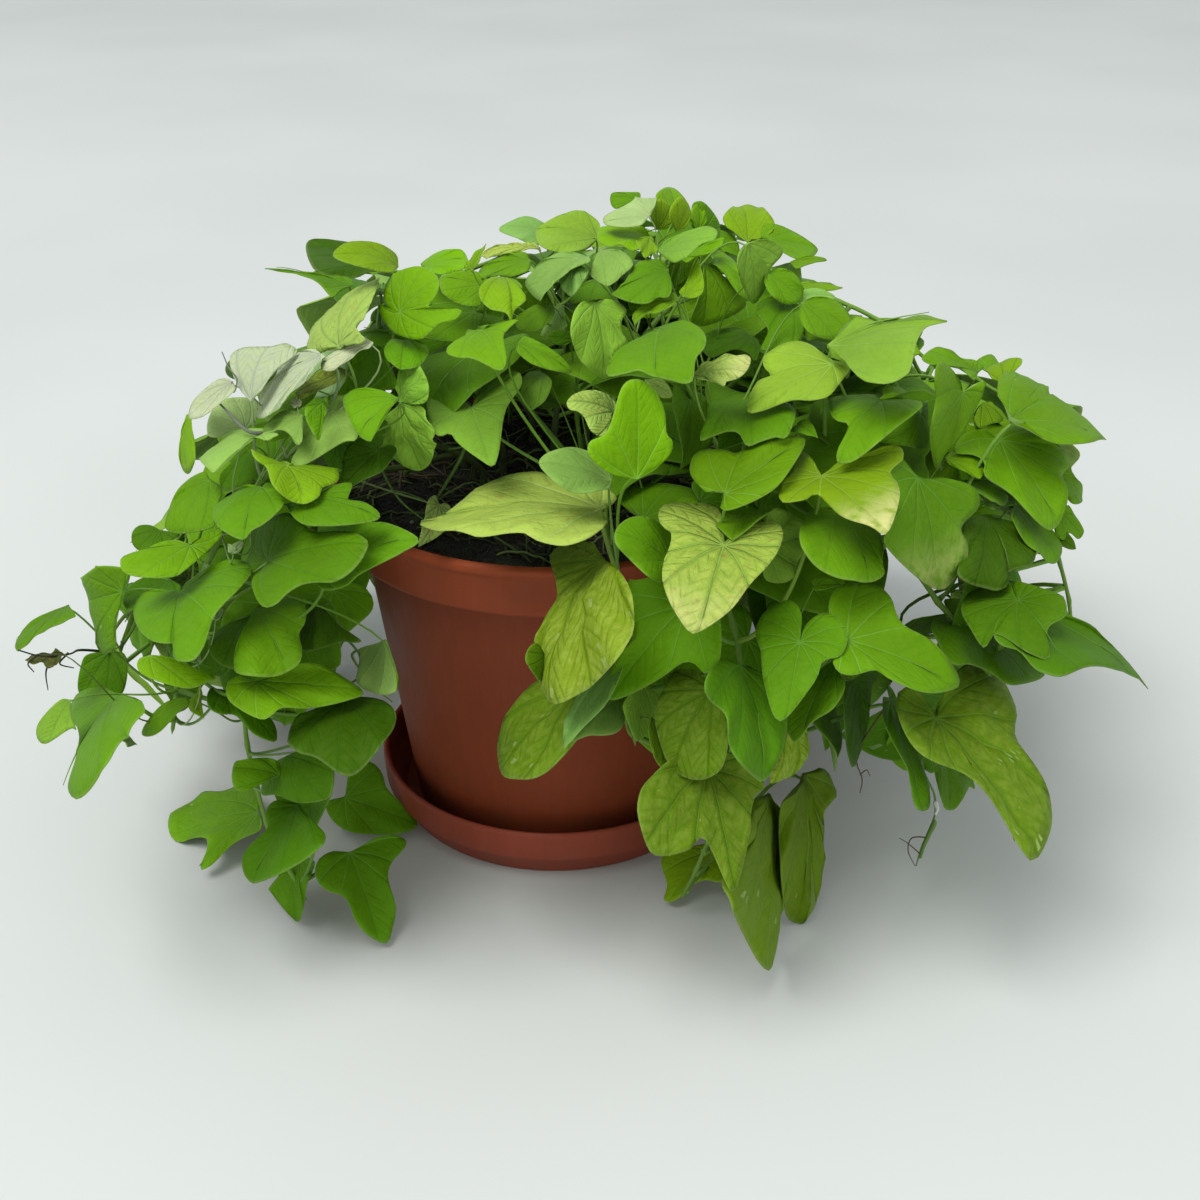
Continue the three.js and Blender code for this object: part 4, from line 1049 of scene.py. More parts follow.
leaf_floor_3 770,795 768,971 742,870 788,880 0 olive heart lies=1 : 764,792 757,796 752,805 748,836 742,852
 732,868 722,878 723,886 747,941 763,968 768,971 773,966 785,925 787,911 780,860 783,820 780,800
- 805,775 800,923 777,850 830,810 1 olive heart lies=1 : 803,781 795,795 784,800 780,815 780,850 788,918
 798,924 805,923 817,899 823,869 822,817 827,805 831,781 826,770 816,768
- 815,700 835,770 803,735 845,735 1.6 deep heart
- 575,690 500,775 515,695 556,765 1.7 speckled heart : 560,684 548,680 536,681 505,716 500,730 497,748
 503,776 515,779 530,779 545,773 580,735 590,715 588,700 575,690
- 628,650 560,747 560,700 603,703 1.4 cool lance : 628,650 618,655 600,680 585,690 557,702 555,712 560,748
 585,725 608,700 625,662
- 628,690 570,738 575,706 622,734 1.8 cool lance : 628,690 603,700 567,742 590,735 603,735 615,733 624,726
 628,718 626,705
- 640,678 638,740 622,705 658,710 1.3 light heart : 640,684 630,690 623,700 624,710 628,722 638,741 655,720
 662,682 652,680
- 545,655 527,652 536,642 538,664 0.8 olive lance : 545,660 540,645 535,643 528,650 526,660 530,668 535,675
 540,682 548,684
- 250,616 226,667 209,640 255,645 0.8 deep heart : 250,616 238,620 226,621 215,628 209,640 210,653 217,662
 226,667 240,668 255,650 258,630
- 652,717 665,766 649,735 664,742 0.7 olive lance : 652,716 656,720 661,740 666,758 667,764 663,768 656,760
 651,745 649,728
- 645,380 672,396 655,390 662,380 0.6 pale lance : 645,380 660,378 668,385 672,396 662,397 655,390
- 540,247 482,256 505,245 508,253 0.8 pale lance : 540,247 535,243 515,244 495,247 480,253 487,258 500,254
 520,251
- 650,237 600,232 622,225 622,248 0.6 bright heart : 650,237 645,228 612,224 600,228 597,238 605,245 620,247
 632,252 640,258
- 705,262 703,326 690,295 742,300 1 mid heart : 705,262 712,262 730,285 742,292 748,301 742,310 712,324
 700,326 690,320 685,310 692,300 702,293
- 600,280 590,302 572,295 618,293 1.1 mid heart : 600,280 590,280 572,294 570,302 582,302 600,299 615,301
 620,298 612,288
- 552,303 517,322 532,306 545,326 0.8 mid heart : 552,303 540,303 526,310 515,319 518,328 527,331 537,330
 548,322 555,312
- 560,303 537,337 548,318 567,328 1.3 cool heart : 560,301 553,305 551,316 545,326 535,336 545,339 569,333
 565,320 563,308
- 573,340 548,338 560,330 560,345 1.0 deep lance : 573,340 571,334 560,330 550,333 546,340 555,344 566,345
- 920,415 885,442 900,415 905,447 0.2 mid heart : 925,403 933,402 932,420 930,437 925,448 905,446 878,440
 893,428 908,414
- 983,402 990,425 975,415 1002,413 1.2 lime heart : 983,402 992,402 997,410 1003,420 990,424 980,428 975,418
- 960,480 1004,504 980,500 985,480 1.0 mid heart : 955,480 985,480 997,486 1008,496 1005,505 995,503 985,500
 980,492 970,484
- 345,370 295,396 318,372 322,392 1 yellow lance : 345,368 330,366 318,370 308,380 295,392 300,398 315,392
 330,385 345,376
- 848,332 905,323 872,319 875,347 1.0 mid heart : 845,318 855,316 870,320 885,325 905,322 902,335 885,345
 865,347 848,338
- 812,312 852,318 830,300 832,326 1.2 mid heart
- 880,345 925,352 900,336 902,366 1.4 bright heart
- 300,385 262,425 268,390 295,425 1.5 mid heart
- 285,425 250,452 255,430 283,448 1.5 bright heart
- 345,350 305,395 312,350 350,395 1.6 frost heart
- 378,450 342,488 345,455 380,485 1.2 shade heart
- 372,425 345,465 340,435 372,455 1.4 shade heart
- 520,388 560,408 545,380 535,412 3 shade heart
- 575,385 548,412 552,390 575,410 3.2 fresh heart
- 512,432 530,412 508,418 532,428 0 dull lance plane=0.1
- 540,405 562,420 545,418 558,405 0 withered heart plane=0.12
- 440,505 420,548 418,520 440,535 0 dull lance plane=-0.13
- 233,551 239,539 229,545 241,547 0.2 frost lance
- 233,551 226,543 227,549 232,543 0.2 frost lance
- 215,618 219,608 211,613 221,614 0.3 frost lance
- 197,660 191,650 189,656 199,653 0.4 frost lance
- 297,405 292,395 289,401 299,398 0.2 cream lance
- 846,324 884,332 859,316 862,337 0.6 mid heart : 842,326 854,315 869,320 884,331 877,340 858,339 845,333
- 300,752 314,828 273,785 333,785 0 deep heart plane=-0.172 : 300,752 313,748 327,755 334,772 331,795 322,815
 313,829 298,825 284,812 274,793 275,772 286,756
- 330,690 350,742 312,700 352,705 1.4 shade heart
- 656,230 661,200 652,214 672,214 0.5 lime heart : 656,230 651,216 654,204 661,199 669,204 673,216 668,228
- 677,232 686,198 670,214 691,216 0.35 lime heart : 677,232 670,218 672,206 681,197 688,203 691,216 685,228
- 699,230 698,205 691,216 707,217 0.5 bright heart : 699,230 692,222 691,212 697,204 704,209 707,220
- 690,226 655,252 664,228 686,250 1.1 mid heart
- 712,236 742,258 722,258 736,236 1.2 mid heart
- 684,256 668,290 664,266 690,280 1.3 deep heart
- 712,252 690,290 692,262 716,280 1.2 mid heart
- 802,302 852,332 836,298 818,338 0.4 fresh heart : 802,302 812,297 826,297 840,303 851,317 854,333 840,339
 822,338 808,331 800,316
- 768,272 801,300 792,268 774,300 0.5 fresh heart : 768,272 780,268 794,273 803,287 801,301 785,304 771,294
 765,282
- 744,426 718,452 718,430 744,450 1.2 deep heart
- 338,438 345,484 320,458 358,464 1.3 deep heart
- 232,382 190,417 204,391 214,409 -0.1 cream heart : 232,380 222,378 197,396 190,407 189,418 200,417 213,409
 226,398 235,388
"""


def readLeaf(row):
    words, _, edge = row.partition(" : ")
    node, *places, layer, tone, shape = [word for word in words.split() if "=" not in word]
    extra = {key: float(value) for key, value in (word.split("=") for word in words.split() if "=" in word)}
    places = [tuple(float(c) for c in place.split(",")) for place in places]
    return node.strip("-"), *places, float(layer), tone, shape, {**extra, "edge": edge}


frontLeaves = [readLeaf(row) for row in leafRows.strip().replace("\n ", " ").split("\n")]

# Where the foliage ends on the sheet, and the places in it where the pot, the soil and the ground show, each
# with how far back, as Y, seeded leaves keep out of it.
foliageEdge = [
    (262, 268), (310, 240), (400, 248), (470, 248), (500, 226), (545, 212), (610, 192), (680, 187),
    (722, 203), (772, 202), (824, 260), (845, 290), (900, 313), (945, 311), (928, 350), (1010, 360),
    (1052, 398), (1114, 432), (1066, 452), (1085, 500), (1082, 545), (1040, 562), (1012, 588),
    (1062, 600), (1102, 640), (1147, 678), (1062, 674), (1012, 692), (1052, 790), (1052, 852),
    (1030, 862), (970, 800), (925, 812), (865, 790), (830, 820), (828, 900), (800, 925), (768, 972),
    (735, 900), (665, 900), (640, 850), (640, 770), (560, 778), (500, 775), (398, 700), (400, 745),
    (417, 828), (395, 942), (300, 922), (245, 882), (168, 830), (228, 765), (285, 742), (200, 702),
    (140, 742), (75, 798), (38, 742), (62, 690), (14, 652), (14, 628), (70, 588), (120, 568), (133, 528),
    (183, 480), (178, 430), (223, 380), (233, 348), (310, 338), (350, 290)]
openPlaces = [
    (0.06, [
        (345, 402), (470, 470), (560, 395), (575, 420), (555, 470), (470, 505), (440, 540), (560, 560),
        (545, 640), (500, 690), (510, 770), (640, 740), (650, 860), (420, 850), (385, 740), (400, 640),
        (370, 570), (345, 480)]),
    (1, [(888, 552), (942, 556), (938, 628), (905, 610)]),
]

# Leaves seeded over the rest of the crown: how many to try in each layer, their lengths, how far up and down
# the crown they go, and the room each needs. near is in sheet units.
fillers = {
    "layers": ((0, 300), (0.8, 700), (1.7, 480), (2.6, 380), (3.6, 160)),
    "length": 0.072, "spread": 0.012, "shortest": 0.045, "longest": 0.105,
    "lowest": -0.55, "highest": 0.985, "goldenAngle": 2.39996, "margin": 1.045,
    "insideBox": 0.004, "offFloor": 0.012, "potReach": 0.165, "potTop": 0.262, "backFrom": 0.06,
    "near": 90, "behind": 0.012, "apart": 0.031, "apartOutside": 0.026,
    "shapes": ["heart", "heart", "heart", "trident", "lance"],
    "brightTones": ["mid", "fresh", "light", "deep", "lime", "cool"], "paintedShadeTones": ["deep", "mid", "fresh"],
}

turnSine, turnCosine = np.sin(sheet["turn"]), np.cos(sheet["turn"])
pitchSine, pitchCosine = np.sin(sheet["pitch"]), np.cos(sheet["pitch"])
ahead = np.array([turnSine * pitchCosine, turnCosine * pitchCosine, -pitchSine])
sheetUp = np.array([turnSine * pitchSine, turnCosine * pitchSine, pitchCosine])
sheetRight = np.array([turnCosine, -turnSine, 0])
upward = np.array([0.0, 0.0, 1.0])


# A step on the sheet and away from the eye, in space.
def inSpace(flat, deep):
    return ahead * deep + sheetRight * flat[0] + sheetUp * flat[1]


# The line of sight through a place on the sheet, one unit deep.
def sightOf(place):
    flat = (place[0] - sheet["middle"]) / sheet["focal"], (sheet["middle"] - place[1]) / sheet["focal"]
    return inSpace(flat, 1)


# Where lines of sight through sheet places meet a leaf's plane, as (across, along) in its widths and
# lengths.
def onPlane(leaf, places):
    flat = (places - sheet["middle"]) / sheet["focal"] * (1, -1)
    sights = ahead + flat[:, :1] * sheetRight + flat[:, 1:] * sheetUp
    depth = ((leaf["at"] - eye) @ leaf["face"]) / (sights @ leaf["face"])
    away = eye + sights * depth[:, None] - leaf["at"]
    along, side = unit(leaf["along"]), unit(np.cross(leaf["face"], leaf["along"]))
    return np.stack([away @ side / leaf["width"], away @ along / np.linalg.norm(leaf["along"])], -1)


# Sheet places of points in space.
def onSheet(points):
    away = points - eye
    deep = away @ ahead
    return np.stack([sheet["middle"] + sheet["focal"] * (away @ sheetRight) / deep,
                     sheet["middle"] - sheet["focal"] * (away @ sheetUp) / deep], -1)


# True for each place inside an outline: a line to the right of it crosses the outline an odd number of times.
def insideOf(outline, places):
    start = np.array(outline, float)[None]
    end = np.roll(start, -1, axis=1)
    x, y = places[:, None, 0], places[:, None, 1]
    spans = (start[..., 1] > y) != (end[..., 1] > y)
    rise = np.where(spans, end[..., 1] - start[..., 1], 1)
    crossing = start[..., 0] + (y - start[..., 1]) / rise * (end[..., 0] - start[..., 0])
    return (spans & (x < crossing)).sum(1) % 2 == 1


# The depth where a line of sight meets a layer of the crown, or comes nearest to it.
def crownDepth(sight, layer):
    radii = crown["radii"] - layer * crown["layerStep"]
    start, step = (eye - crown["middle"]) / radii, sight / radii
    nearest = -(start @ step) / (step @ step)
    return nearest - sqrt(max(nearest**2 - (start @ start - 1) / (step @ step), 0))


# A blade's width is at right angles to its length, and a known share of it. So the sheet shows how far both
# turn away from it: two answers, of which the one that faces up and out and drips outward is taken.
def placeFromSheet(base, tip, left, right, layer, shape, plane=None, lies=False, under=False, edge=None,
                   free=False):
    sight = sightOf(base)
    depth = crownDepth(sight, layer) if plane is None else (plane - eye[1]) / sight[1]
    ratio, scale = outlines[shape]["ratio"], depth / sheet["focal"]
    length = np.array([tip[0] - base[0], base[1] - tip[1]]) * scale
    width = np.array([right[0] - left[0], left[1] - right[1]]) * scale
    spare, skew = ratio**2 * (length @ length) - width @ width, length @ width
    lengthDeep = sqrt((hypot(spare, 2 * ratio * skew) - spare) / 2) / ratio
    widthDeep = -skew / lengthDeep if lengthDeep > 0.001 else sqrt(max(spare, 0))
    at = eye + sight * depth
    out = unit(at * (1, 1, 0))
    answers = []
    for sign in (1, -1):
        along, across = inSpace(length, sign * lengthDeep), inSpace(width, sign * widthDeep)
        face = unit(np.cross(across, along))
        face = -face if face @ ahead > 0 else face
        drip = unit(along)
        score = turned["up"] * face[2] + turned["out"] * (face @ out)
        score = score + turned["tipOut"] * (drip @ out) - turned["tipDown"] * drip[2]
        answers.append((score, along, face, np.linalg.norm(across)))
    _, along, face, wide = max(answers, key=lambda answer: answer[0])
    least = blade["leastTurned"][free]
    if edge and -(face @ ahead) < least:
        face = unit(face - ahead * (least + face @ ahead) * 1.2)
        towards = sightOf(tip)
        along = eye + towards * ((at - eye) @ face) / (towards @ face) - at
        wide = max(wide, 0.6 * np.linalg.norm(along))
    face = -face if under else face
    leaf = {"at": at, "along": along, "face": face, "width": wide, "shape": shape, "edge": edge}
    return settle(leaf, lies)


# Moves a leaf along its line of sight until its lowest corner is clear of the surface.
def settle(leaf, lies):
    lowest = edgePoints(leaf)[:, 2].min() - blade["sag"]
    if lies or lowest < blade["floorClear"]:
        share = (eye[2] - blade["floorClear"]) / (eye[2] - lowest)
        leaf["at"] = eye + (leaf["at"] - eye) * share
        leaf["along"], leaf["width"] = leaf["along"] * share, leaf["width"] * share
    return leaf


# A folded blade's edge, from its half outline and the same on the other side.
def edgePoints(leaf):
    half = np.array(outlines[leaf["shape"]]["half"])
    side = unit(np.cross(leaf["face"], leaf["along"]))
    across = np.concatenate([half[:, 1], -half[:, 1]])[:, None] * leaf["width"]
    along = np.concatenate([half[:, 0], half[:, 0]])[:, None]
    rise = blade["usualFold"] * np.abs(across)
    return leaf["at"] + along * leaf["along"] + across * side + rise * leaf["face"]


# A leaf at a direction from the crown's middle that points down the crown, its face turned a little upward.
def placeOnCrown(out, length, turn, layer, shape):
    radii = crown["radii"] - layer * crown["layerStep"]
    at = out * radii + crown["middle"]
    face = unit(unit(out / radii) * 0.7 + upward * 0.3)
    down = unit(face * face[2] - upward)
    along = down * np.cos(turn) + np.cross(face, down) * np.sin(turn)
    return {"at": at, "along": along * length, "face": face, "width": length * outlines[shape]["ratio"],
            "shape": shape, "edge": None}


def crownDirection(angle, height):
    lift = (height - crown["middle"][2]) / crown["radii"][2]
    level = sqrt(1 - lift**2)
    return np.array([np.cos(angle) * level, np.sin(angle) * level, lift])


# The CAD's leaves of the back: compass angle from +X in degrees, height and length in millimetres, turn, and
# the layer.
backLeaves = {
    "leaf_back_1": (12, 310, 78, 20, 1.5), "leaf_back_2": (42, 345, 70, -15, 1.5),
    "leaf_back_3": (32, 215, 88, 10, 0), "leaf_back_4": (62, 265, 84, -20, 0),
    "leaf_back_5": (88, 350, 72, 15, 0), "leaf_back_6": (92, 225, 90, 0, 0),
    "leaf_back_7": (118, 300, 80, 18, 0), "leaf_back_8": (128, 190, 86, -12, 0),
    "leaf_back_9": (139, 330, 74, 8, 2), "leaf_back_10": (142, 245, 85, -18, 2),
    "leaf_back_11": (178, 285, 76, 12, 4), "leaf_back_12": (62, 150, 82, 14, 0),
}


# Each leaf's own fold, curve, waves and colour, all seeded.
def natureOf(tone, seed):
    rng = np.random.default_rng(seed)
    warmth = rng.normal(0, nature["warmth"])
    tint = np.array(tones[tone]["tint"]) * rng.uniform(*nature["brightness"]) * (1 + warmth, 1, 1 - warmth)
    return {
        "seed": seed, "tint": tint, "tone": tone, "crinkle": tones[tone]["crinkle"],
        **{key: rng.uniform(*nature[key]) for key in ("fold", "bow", "roll", "wave")},
        "waves": rng.integers(*nature["waves"]), "phase": rng.uniform(0, 2 * pi),
        **{key: rng.normal(0, nature[key]) for key in ("twist", "sway", "lean")},
        "shouldered": rng.random() < nature["shouldered"],
    }


leaves = []


def addLeaf(leaf, tone, node="", fade=0, fine=True):
    seed = 1000 + len(leaves)
    leaves.append({**leaf, **natureOf(tone, seed), "node": node, "fade": fade, "fine": fine,
                   "length": np.linalg.norm(leaf["along"])})
    if leaf["edge"]:
        leaves[-1].update({"lean": 0, "sway": 0, "twist": 0.4 * leaves[-1]["twist"]})


for node, base, tip, left, right, layer, tone, shape, extra in frontLeaves:
    fade = extra.pop("fade", 0)
    addLeaf(placeFromSheet(base, tip, left, right, layer, shape, free=not node, **extra), tone, node, fade)
for number, (node, (angle, height, length, turn, layer)) in enumerate(backLeaves.items()):
    out = crownDirection(np.radians(angle), height / 1000)
    tone = ("mid", "fresh", "light", "lime")[number % 4]
    addLeaf(placeOnCrown(out, length / 1000, np.radians(turn), layer, "heart"), tone, node)

boxLow, boxHigh = np.array(cadBox[0]), np.array(cadBox[1])


# A leaf's outline on the sheet: the right half of its edge out to the tip, and the left half back.
def outlineOnSheet(leaf):
    right, left = np.split(onSheet(edgePoints(leaf)), 2)
    return np.vstack([right, left[::-1]])


# The front leaves' outlines on the sheet, the middle of each, and how deep it lies.
shown = [outlineOnSheet(leaf) for leaf in leaves[:len(frontLeaves)]]
shownMiddle = np.array([outline.mean(0) for outline in shown])
shownDepth = np.array([(leaf["at"] + leaf["along"] / 2 - eye) @ ahead for leaf in leaves[:len(frontLeaves)]])


# True if a seeded leaf would stand before a front leaf, or, for the outer layers, isn't behind any.
def standsBefore(places, middle, mustHide):
    depth, hidden = (middle - eye) @ ahead, False
    for number in np.flatnonzero(np.hypot(*(shownMiddle - places.mean(0)).T) < fillers["near"]):
        inside = insideOf(shown[number], places)
        if inside.any() and depth < shownDepth[number] + fillers["behind"]:
            return True
        hidden = hidden or inside.sum() > len(places) / 3
    return mustHide and not hidden


# A seeded leaf stays in the CAD box, off the surface and out of the pot. Seen from the front, it hides in the
# foliage, and keeps out of the open places unless it is behind the pot.
def hasRoom(leaf, layer):
    edge = edgePoints(leaf)
    if (edge < boxLow + fillers["insideBox"]).any() or (edge > boxHigh - fillers["insideBox"]).any():
        return False
    if edge[:, 2].min() < fillers["offFloor"]:
        return False
    if ((np.hypot(edge[:, 0], edge[:, 1]) < fillers["potReach"]) & (edge[:, 2] < fillers["potTop"])).any():
        return False
    places = onSheet(edge)
    if not insideOf(foliageEdge, sheet["middle"] + (places - sheet["middle"]) * fillers["margin"]).all():
        return False
    here = outlineOnSheet(leaf)
    for back, outline in openPlaces:
        meets = insideOf(outline, places).any() or insideOf(here, np.array(outline)).any()
        if edge[:, 1].min() < back and meets:
            return False
    middle = leaf["at"] + leaf["along"] / 2
    if edge[:, 1].min() < fillers["backFrom"] and standsBefore(places, middle, layer < 1.5):
        return False
    others = np.array([other["at"] + other["along"] / 2 for other in leaves])
    apart = fillers["apartOutside"] if 0 < layer < 1.5 else fillers["apart"]
    return np.linalg.norm(others - middle, axis=1).min() > apart


rng = np.random.default_rng(12)
for layer, tries in fillers["layers"]:
    for number in range(tries):
        lift = fillers["lowest"] + (fillers["highest"] - fillers["lowest"]) * (number + 0.5) / tries
        angle = number * fillers["goldenAngle"] + layer
        out = np.array([np.cos(angle), np.sin(angle), 0]) * sqrt(1 - lift**2) + (0, 0, lift)
        out = unit(out + rng.normal(0, 0.05, 3))
        length = rng.normal(fillers["length"], fillers["spread"])
        length = np.clip(length, fillers["shortest"], fillers["longest"])
        shape = rng.choice(fillers["shapes"])
        leaf = placeOnCrown(out, length, rng.normal(0, 0.6), layer, shape)
        leaf["face"] = unit(leaf["face"] + rng.normal(0, 0.22, 3))
        leaf["along"] = unit(leaf["along"] - leaf["face"] * (leaf["along"] @ leaf["face"])) * length
        seenFromFront = unit(out / crown["radii"]) @ unit(eye - leaf["at"]) > 0.05
        # Painted shade: seeded leaves in the inner layers, and those seen from the front behind the front
        # leaves, take darker tones.
        bright = layer < 2 and not seenFromFront
        tone = rng.choice(fillers["brightTones"] if bright else fillers["paintedShadeTones"])
        if (layer > 0.5 or not seenFromFront) and hasRoom(leaf, layer):
            addLeaf(leaf, tone, fine=False)
print("leaves placed:", len(leaves))


# A point of a blade at (across, along) in widths and lengths: folded at the midrib, bowed along its length,
# rolled down at the sides, waved round the edge, crinkled, and twisted towards the tip.
def bladePoints(leaf, across, along, edge, around):
    length, width = leaf["length"], leaf["width"]
    wide = across * (1 + leaf["lean"] * np.sign(across))
    arch = 4 * along * (1 - along)
    x = wide * width + leaf["sway"] * length * arch
    rise = leaf["fold"] * width * (np.sqrt(wide**2 + 0.002) - sqrt(0.002))
    rise = rise - leaf["roll"] * width * wide**2 + leaf["bow"] * length * arch
    rise = rise + leaf["wave"] * width * edge**3 * np.sin(2 * pi * leaf["waves"] * around + leaf["phase"])
    cells = blade["wrinkles"]
    wrinkle = cellNoise(across * cells + 30, along * cells + 30, 1, leaf["seed"]) - 0.5
    rise = rise + leaf["crinkle"] * length * 2 * wrinkle * ease(edge, 0, 0.4)
    turn = leaf["twist"] * along
    x, rise = x * np.cos(turn) - rise * np.sin(turn), x * np.sin(turn) + rise * np.cos(turn)
    ahead, face = unit(leaf["along"]), leaf["face"]
    side = np.cross(face, ahead)
    points = leaf["at"] + along[..., None] * length * ahead + x[..., None] * side + rise[..., None] * face
    points[..., 2] = np.maximum(points[..., 2], blade["lowest"])
    return points


# How often a drawn edge is moved, how far from the leaf it may end up as (across, along), and the share of
# its reach that counts as near the stalk.
drawn = {"passes": 4, "least": (-1.15, -0.8), "most": (1.15, 1.4), "nearStalk": 0.16}


# An edge that was drawn on the sheet, as (across, along) that show there. It is met with the leaf's plane,
# then moved by what the blade's relief shifts it. It starts at the stalk and runs round past the right lobe,
# and its direction seen from the stalk only ever turns one way, so that rings which shrink to the stalk
# never cross.
def drawnEdge(leaf, half):
    places = np.array([place.split(",") for place in leaf["edge"].split()], float)
    places = smoothThrough(np.vstack([places, places[:1]]), 2 * half + 1)[:-1]
    flat = onPlane(leaf, places)
    if (flat[:, 0] * np.roll(flat[:, 1], -1) - flat[:, 1] * np.roll(flat[:, 0], -1)).sum() < 0:
        places, flat = places[::-1], flat[::-1]
    start = int(np.argmin(np.hypot(*flat.T)))
    places, flat = np.roll(places, -start, axis=0), np.roll(flat, -start, axis=0)
    around = np.arange(2 * half) / (2 * half)
    edge = flat.copy()
    for _ in range(drawn["passes"]):
        shown = onSheet(bladePoints(leaf, edge[:, 0], edge[:, 1], np.ones(2 * half), around))
        edge = np.clip(edge + flat - onPlane(leaf, shown), drawn["least"], drawn["most"])
    reach, turn = np.hypot(*edge.T), np.mod(np.arctan2(edge[:, 1], edge[:, 0]) + pi / 2, 2 * pi)
    turn = turn - 2 * pi * ((around < 0.3) & (turn > 1.4 * pi))
    turn = turn + 2 * pi * ((around > 0.7) & (turn < 0.6 * pi))
    far = reach > drawn["nearStalk"] * reach.max()
    turn = np.interp(around, around[far], turn[far])
    turn = (np.maximum.accumulate(turn) + np.minimum.accumulate(turn[::-1])[::-1]) / 2
    edge = np.stack([reach * np.sin(turn), -reach * np.cos(turn)], -1)
    edge[0] = (0, -0.012)
    return edge, around


# The whole edge of a blade as (across, along), and how far round it each point is, from 0 to 1.
def bladeEdge(leaf, half):
    if leaf["edge"]:
        return drawnEdge(leaf, half)
    shape = "shouldered" if leaf["shape"] == "heart" and leaf["shouldered"] else leaf["shape"]
    right = smoothThrough(outlines[shape]["half"], half + 1)[:, ::-1]
    left = right[-2:0:-1] * (-1, 1)
    return np.vstack([right, left]), np.arange(2 * half) / (2 * half)


# A blade: rings that shrink from its edge to the stalk's end, the same again a thickness lower for the
# underside, and a thin strip round the edge that joins them.
def bladePart(leaf):
    rings, half = blade["fine"] if leaf["fine"] else blade["plain"]
    outline, around = bladeEdge(leaf, half)
    count = len(outline)
    reach = np.linspace(0, 1, rings + 1)[1:] ** 0.85
    across = np.append(0, (reach[:, None] * outline[None, :, 0]).ravel())
    along = np.append(0, (reach[:, None] * outline[None, :, 1]).ravel())
    edge = np.append(0, np.repeat(reach, count))
    top = bladePoints(leaf, across, along, edge, np.append(0, np.tile(around, rings)))
    low = top - leaf["face"] * blade["thickness"]
    quads = gridFaces(rings, count, True)[0] + 1
    now, after = np.arange(count), (np.arange(count) + 1) % count
    fan = np.stack([np.zeros(count, int), now + 1, after + 1], -1)
    last, under = (rings - 1) * count + 1, len(top)
    strip = np.stack([last + now, under + last + now, under + last + after, last + after], -1)
    (startX, startY), scale = veinPattern["start"], veinPattern["scale"]
    places = np.stack([startX + scale * across * leaf["width"] / leaf["length"], startY + scale * along], -1)
    places = np.vstack([places, places])
    faces = [(quads, 0, True), (fan[:, ::-1], 0, True), (quads[:, ::-1] + under, 1, True),
             (fan + under, 1, True), (strip[:, ::-1], 0, False)]
    tone = tones[leaf["tone"]]
    fading = leaf["fade"] * ease(along, 0.35, 1.0) * ease(edge, 0.2, 0.9)
    wear = np.stack([edge * 0 + tone["pale"], edge, edge * 0 + tone["dry"], fading], -1)
    tint = leaf["tint"] * (0.9 + 0.18 * edge**2)[:, None]
    return {
        "points": np.vstack([top, low]), "tint": np.vstack([tint, tint]), "wear": np.vstack([wear, wear]),
        "sheets": [(corners, places[corners], number, smooth) for corners, number, smooth in faces],
    }


# The perch nearest to a place a little below the blade. The CAD's leaves keep theirs, and others avoid a
# perch that already has leaves.
taken = np.zeros(len(perches["at"]))


def perchFor(leaf):
    seek = leaf["at"] - 0.7 * stalk["drop"] * leaf["face"] - 0.3 * stalk["drop"] * upward
    cost = np.linalg.norm(perches["at"] - seek, axis=1) + (0 if leaf["node"] else stalk["crowding"] * taken)
    best = int(np.argmin(cost))
    taken[best] += 1
    return best


# A stalk leaves its vine at right angles, bends up into the blade, and runs on as the midrib's ridge.
def stalkPart(leaf, perch):
    start, direction = perches["at"][perch], perches["direction"][perch]
    small = np.clip(leaf["length"] / stalk["usualLeaf"], 0.35, 1.1)
    count = stalk["points"]
    ribAt = np.linspace(*stalk["rib"], stalk["ribPoints"])
    ribRadii = np.linspace(stalk["neck"] * 0.8, stalk["end"], stalk["ribPoints"])
    radii = small * np.append(np.linspace(stalk["foot"], stalk["neck"], count), ribRadii)
    rib = bladePoints(leaf, ribAt * 0, ribAt, ribAt, ribAt * 0)
    rib = rib - leaf["face"] * (radii[count:, None] + 0.00012)
    end = rib[0] - 0.012 * leaf["along"]
    span = np.linalg.norm(end - start)
    out = end - start
    out = unit(out - direction * (out @ direction))
    bend = end - 0.3 * span * leaf["face"] - 0.12 * span * unit(leaf["along"])
    t = np.linspace(0, 1, count + 1)[:-1, None]
    way = start * (1 - t) ** 3 + 3 * (start + 0.35 * span * out) * t * (1 - t) ** 2
    way = way + 3 * bend * t**2 * (1 - t) + end * t**3
    radii[0] *= 1.5
    path = np.vstack([way, rib])
    path[:, 2] = np.maximum(path[:, 2], stalk["lowest"])
    tint = leaf["tint"] * 0.55 + stalk["tint"]
    return tubePart(path, radii, stalk["sides" if leaf["fine"] else "plainSides"], tint=tint, material=2)


groups = {}
for leaf in leaves:
    perch = perchFor(leaf)
    parts = [bladePart(leaf), stalkPart(leaf, perch)]
    if leaf["node"]:
        addPiece(leaf["node"] + "_grown", parts, leafMaterials, [leaf["node"]])
    else:
        groups.setdefault(perches["vine"][perch], []).extend(parts)
for name, parts in groups.items():
    addPiece("leaves_of_" + name, parts, leafMaterials)
print("leaves grown:", len(leaves), "in", len(groups), "groups")

litter = {"reach": 0.139, "roots": 260, "rootLength": (0.02, 0.12), "rootRadius": (0.0004, 0.0012),
          "rootPoints": 16, "arch": 0.012, "crumbs": 260, "crumbSize": (0.0008, 0.0028), "paleShare": 0.12}
rootTints = [(0.08, 0.12, 0.028), (0.035, 0.05, 0.014), (0.15, 0.21, 0.06), (0.09, 0.07, 0.03)]
crumbTints = [(0.02, 0.013, 0.007), (0.035, 0.022, 0.01), (0.012, 0.01, 0.007), (0.2, 0.18, 0.14)]


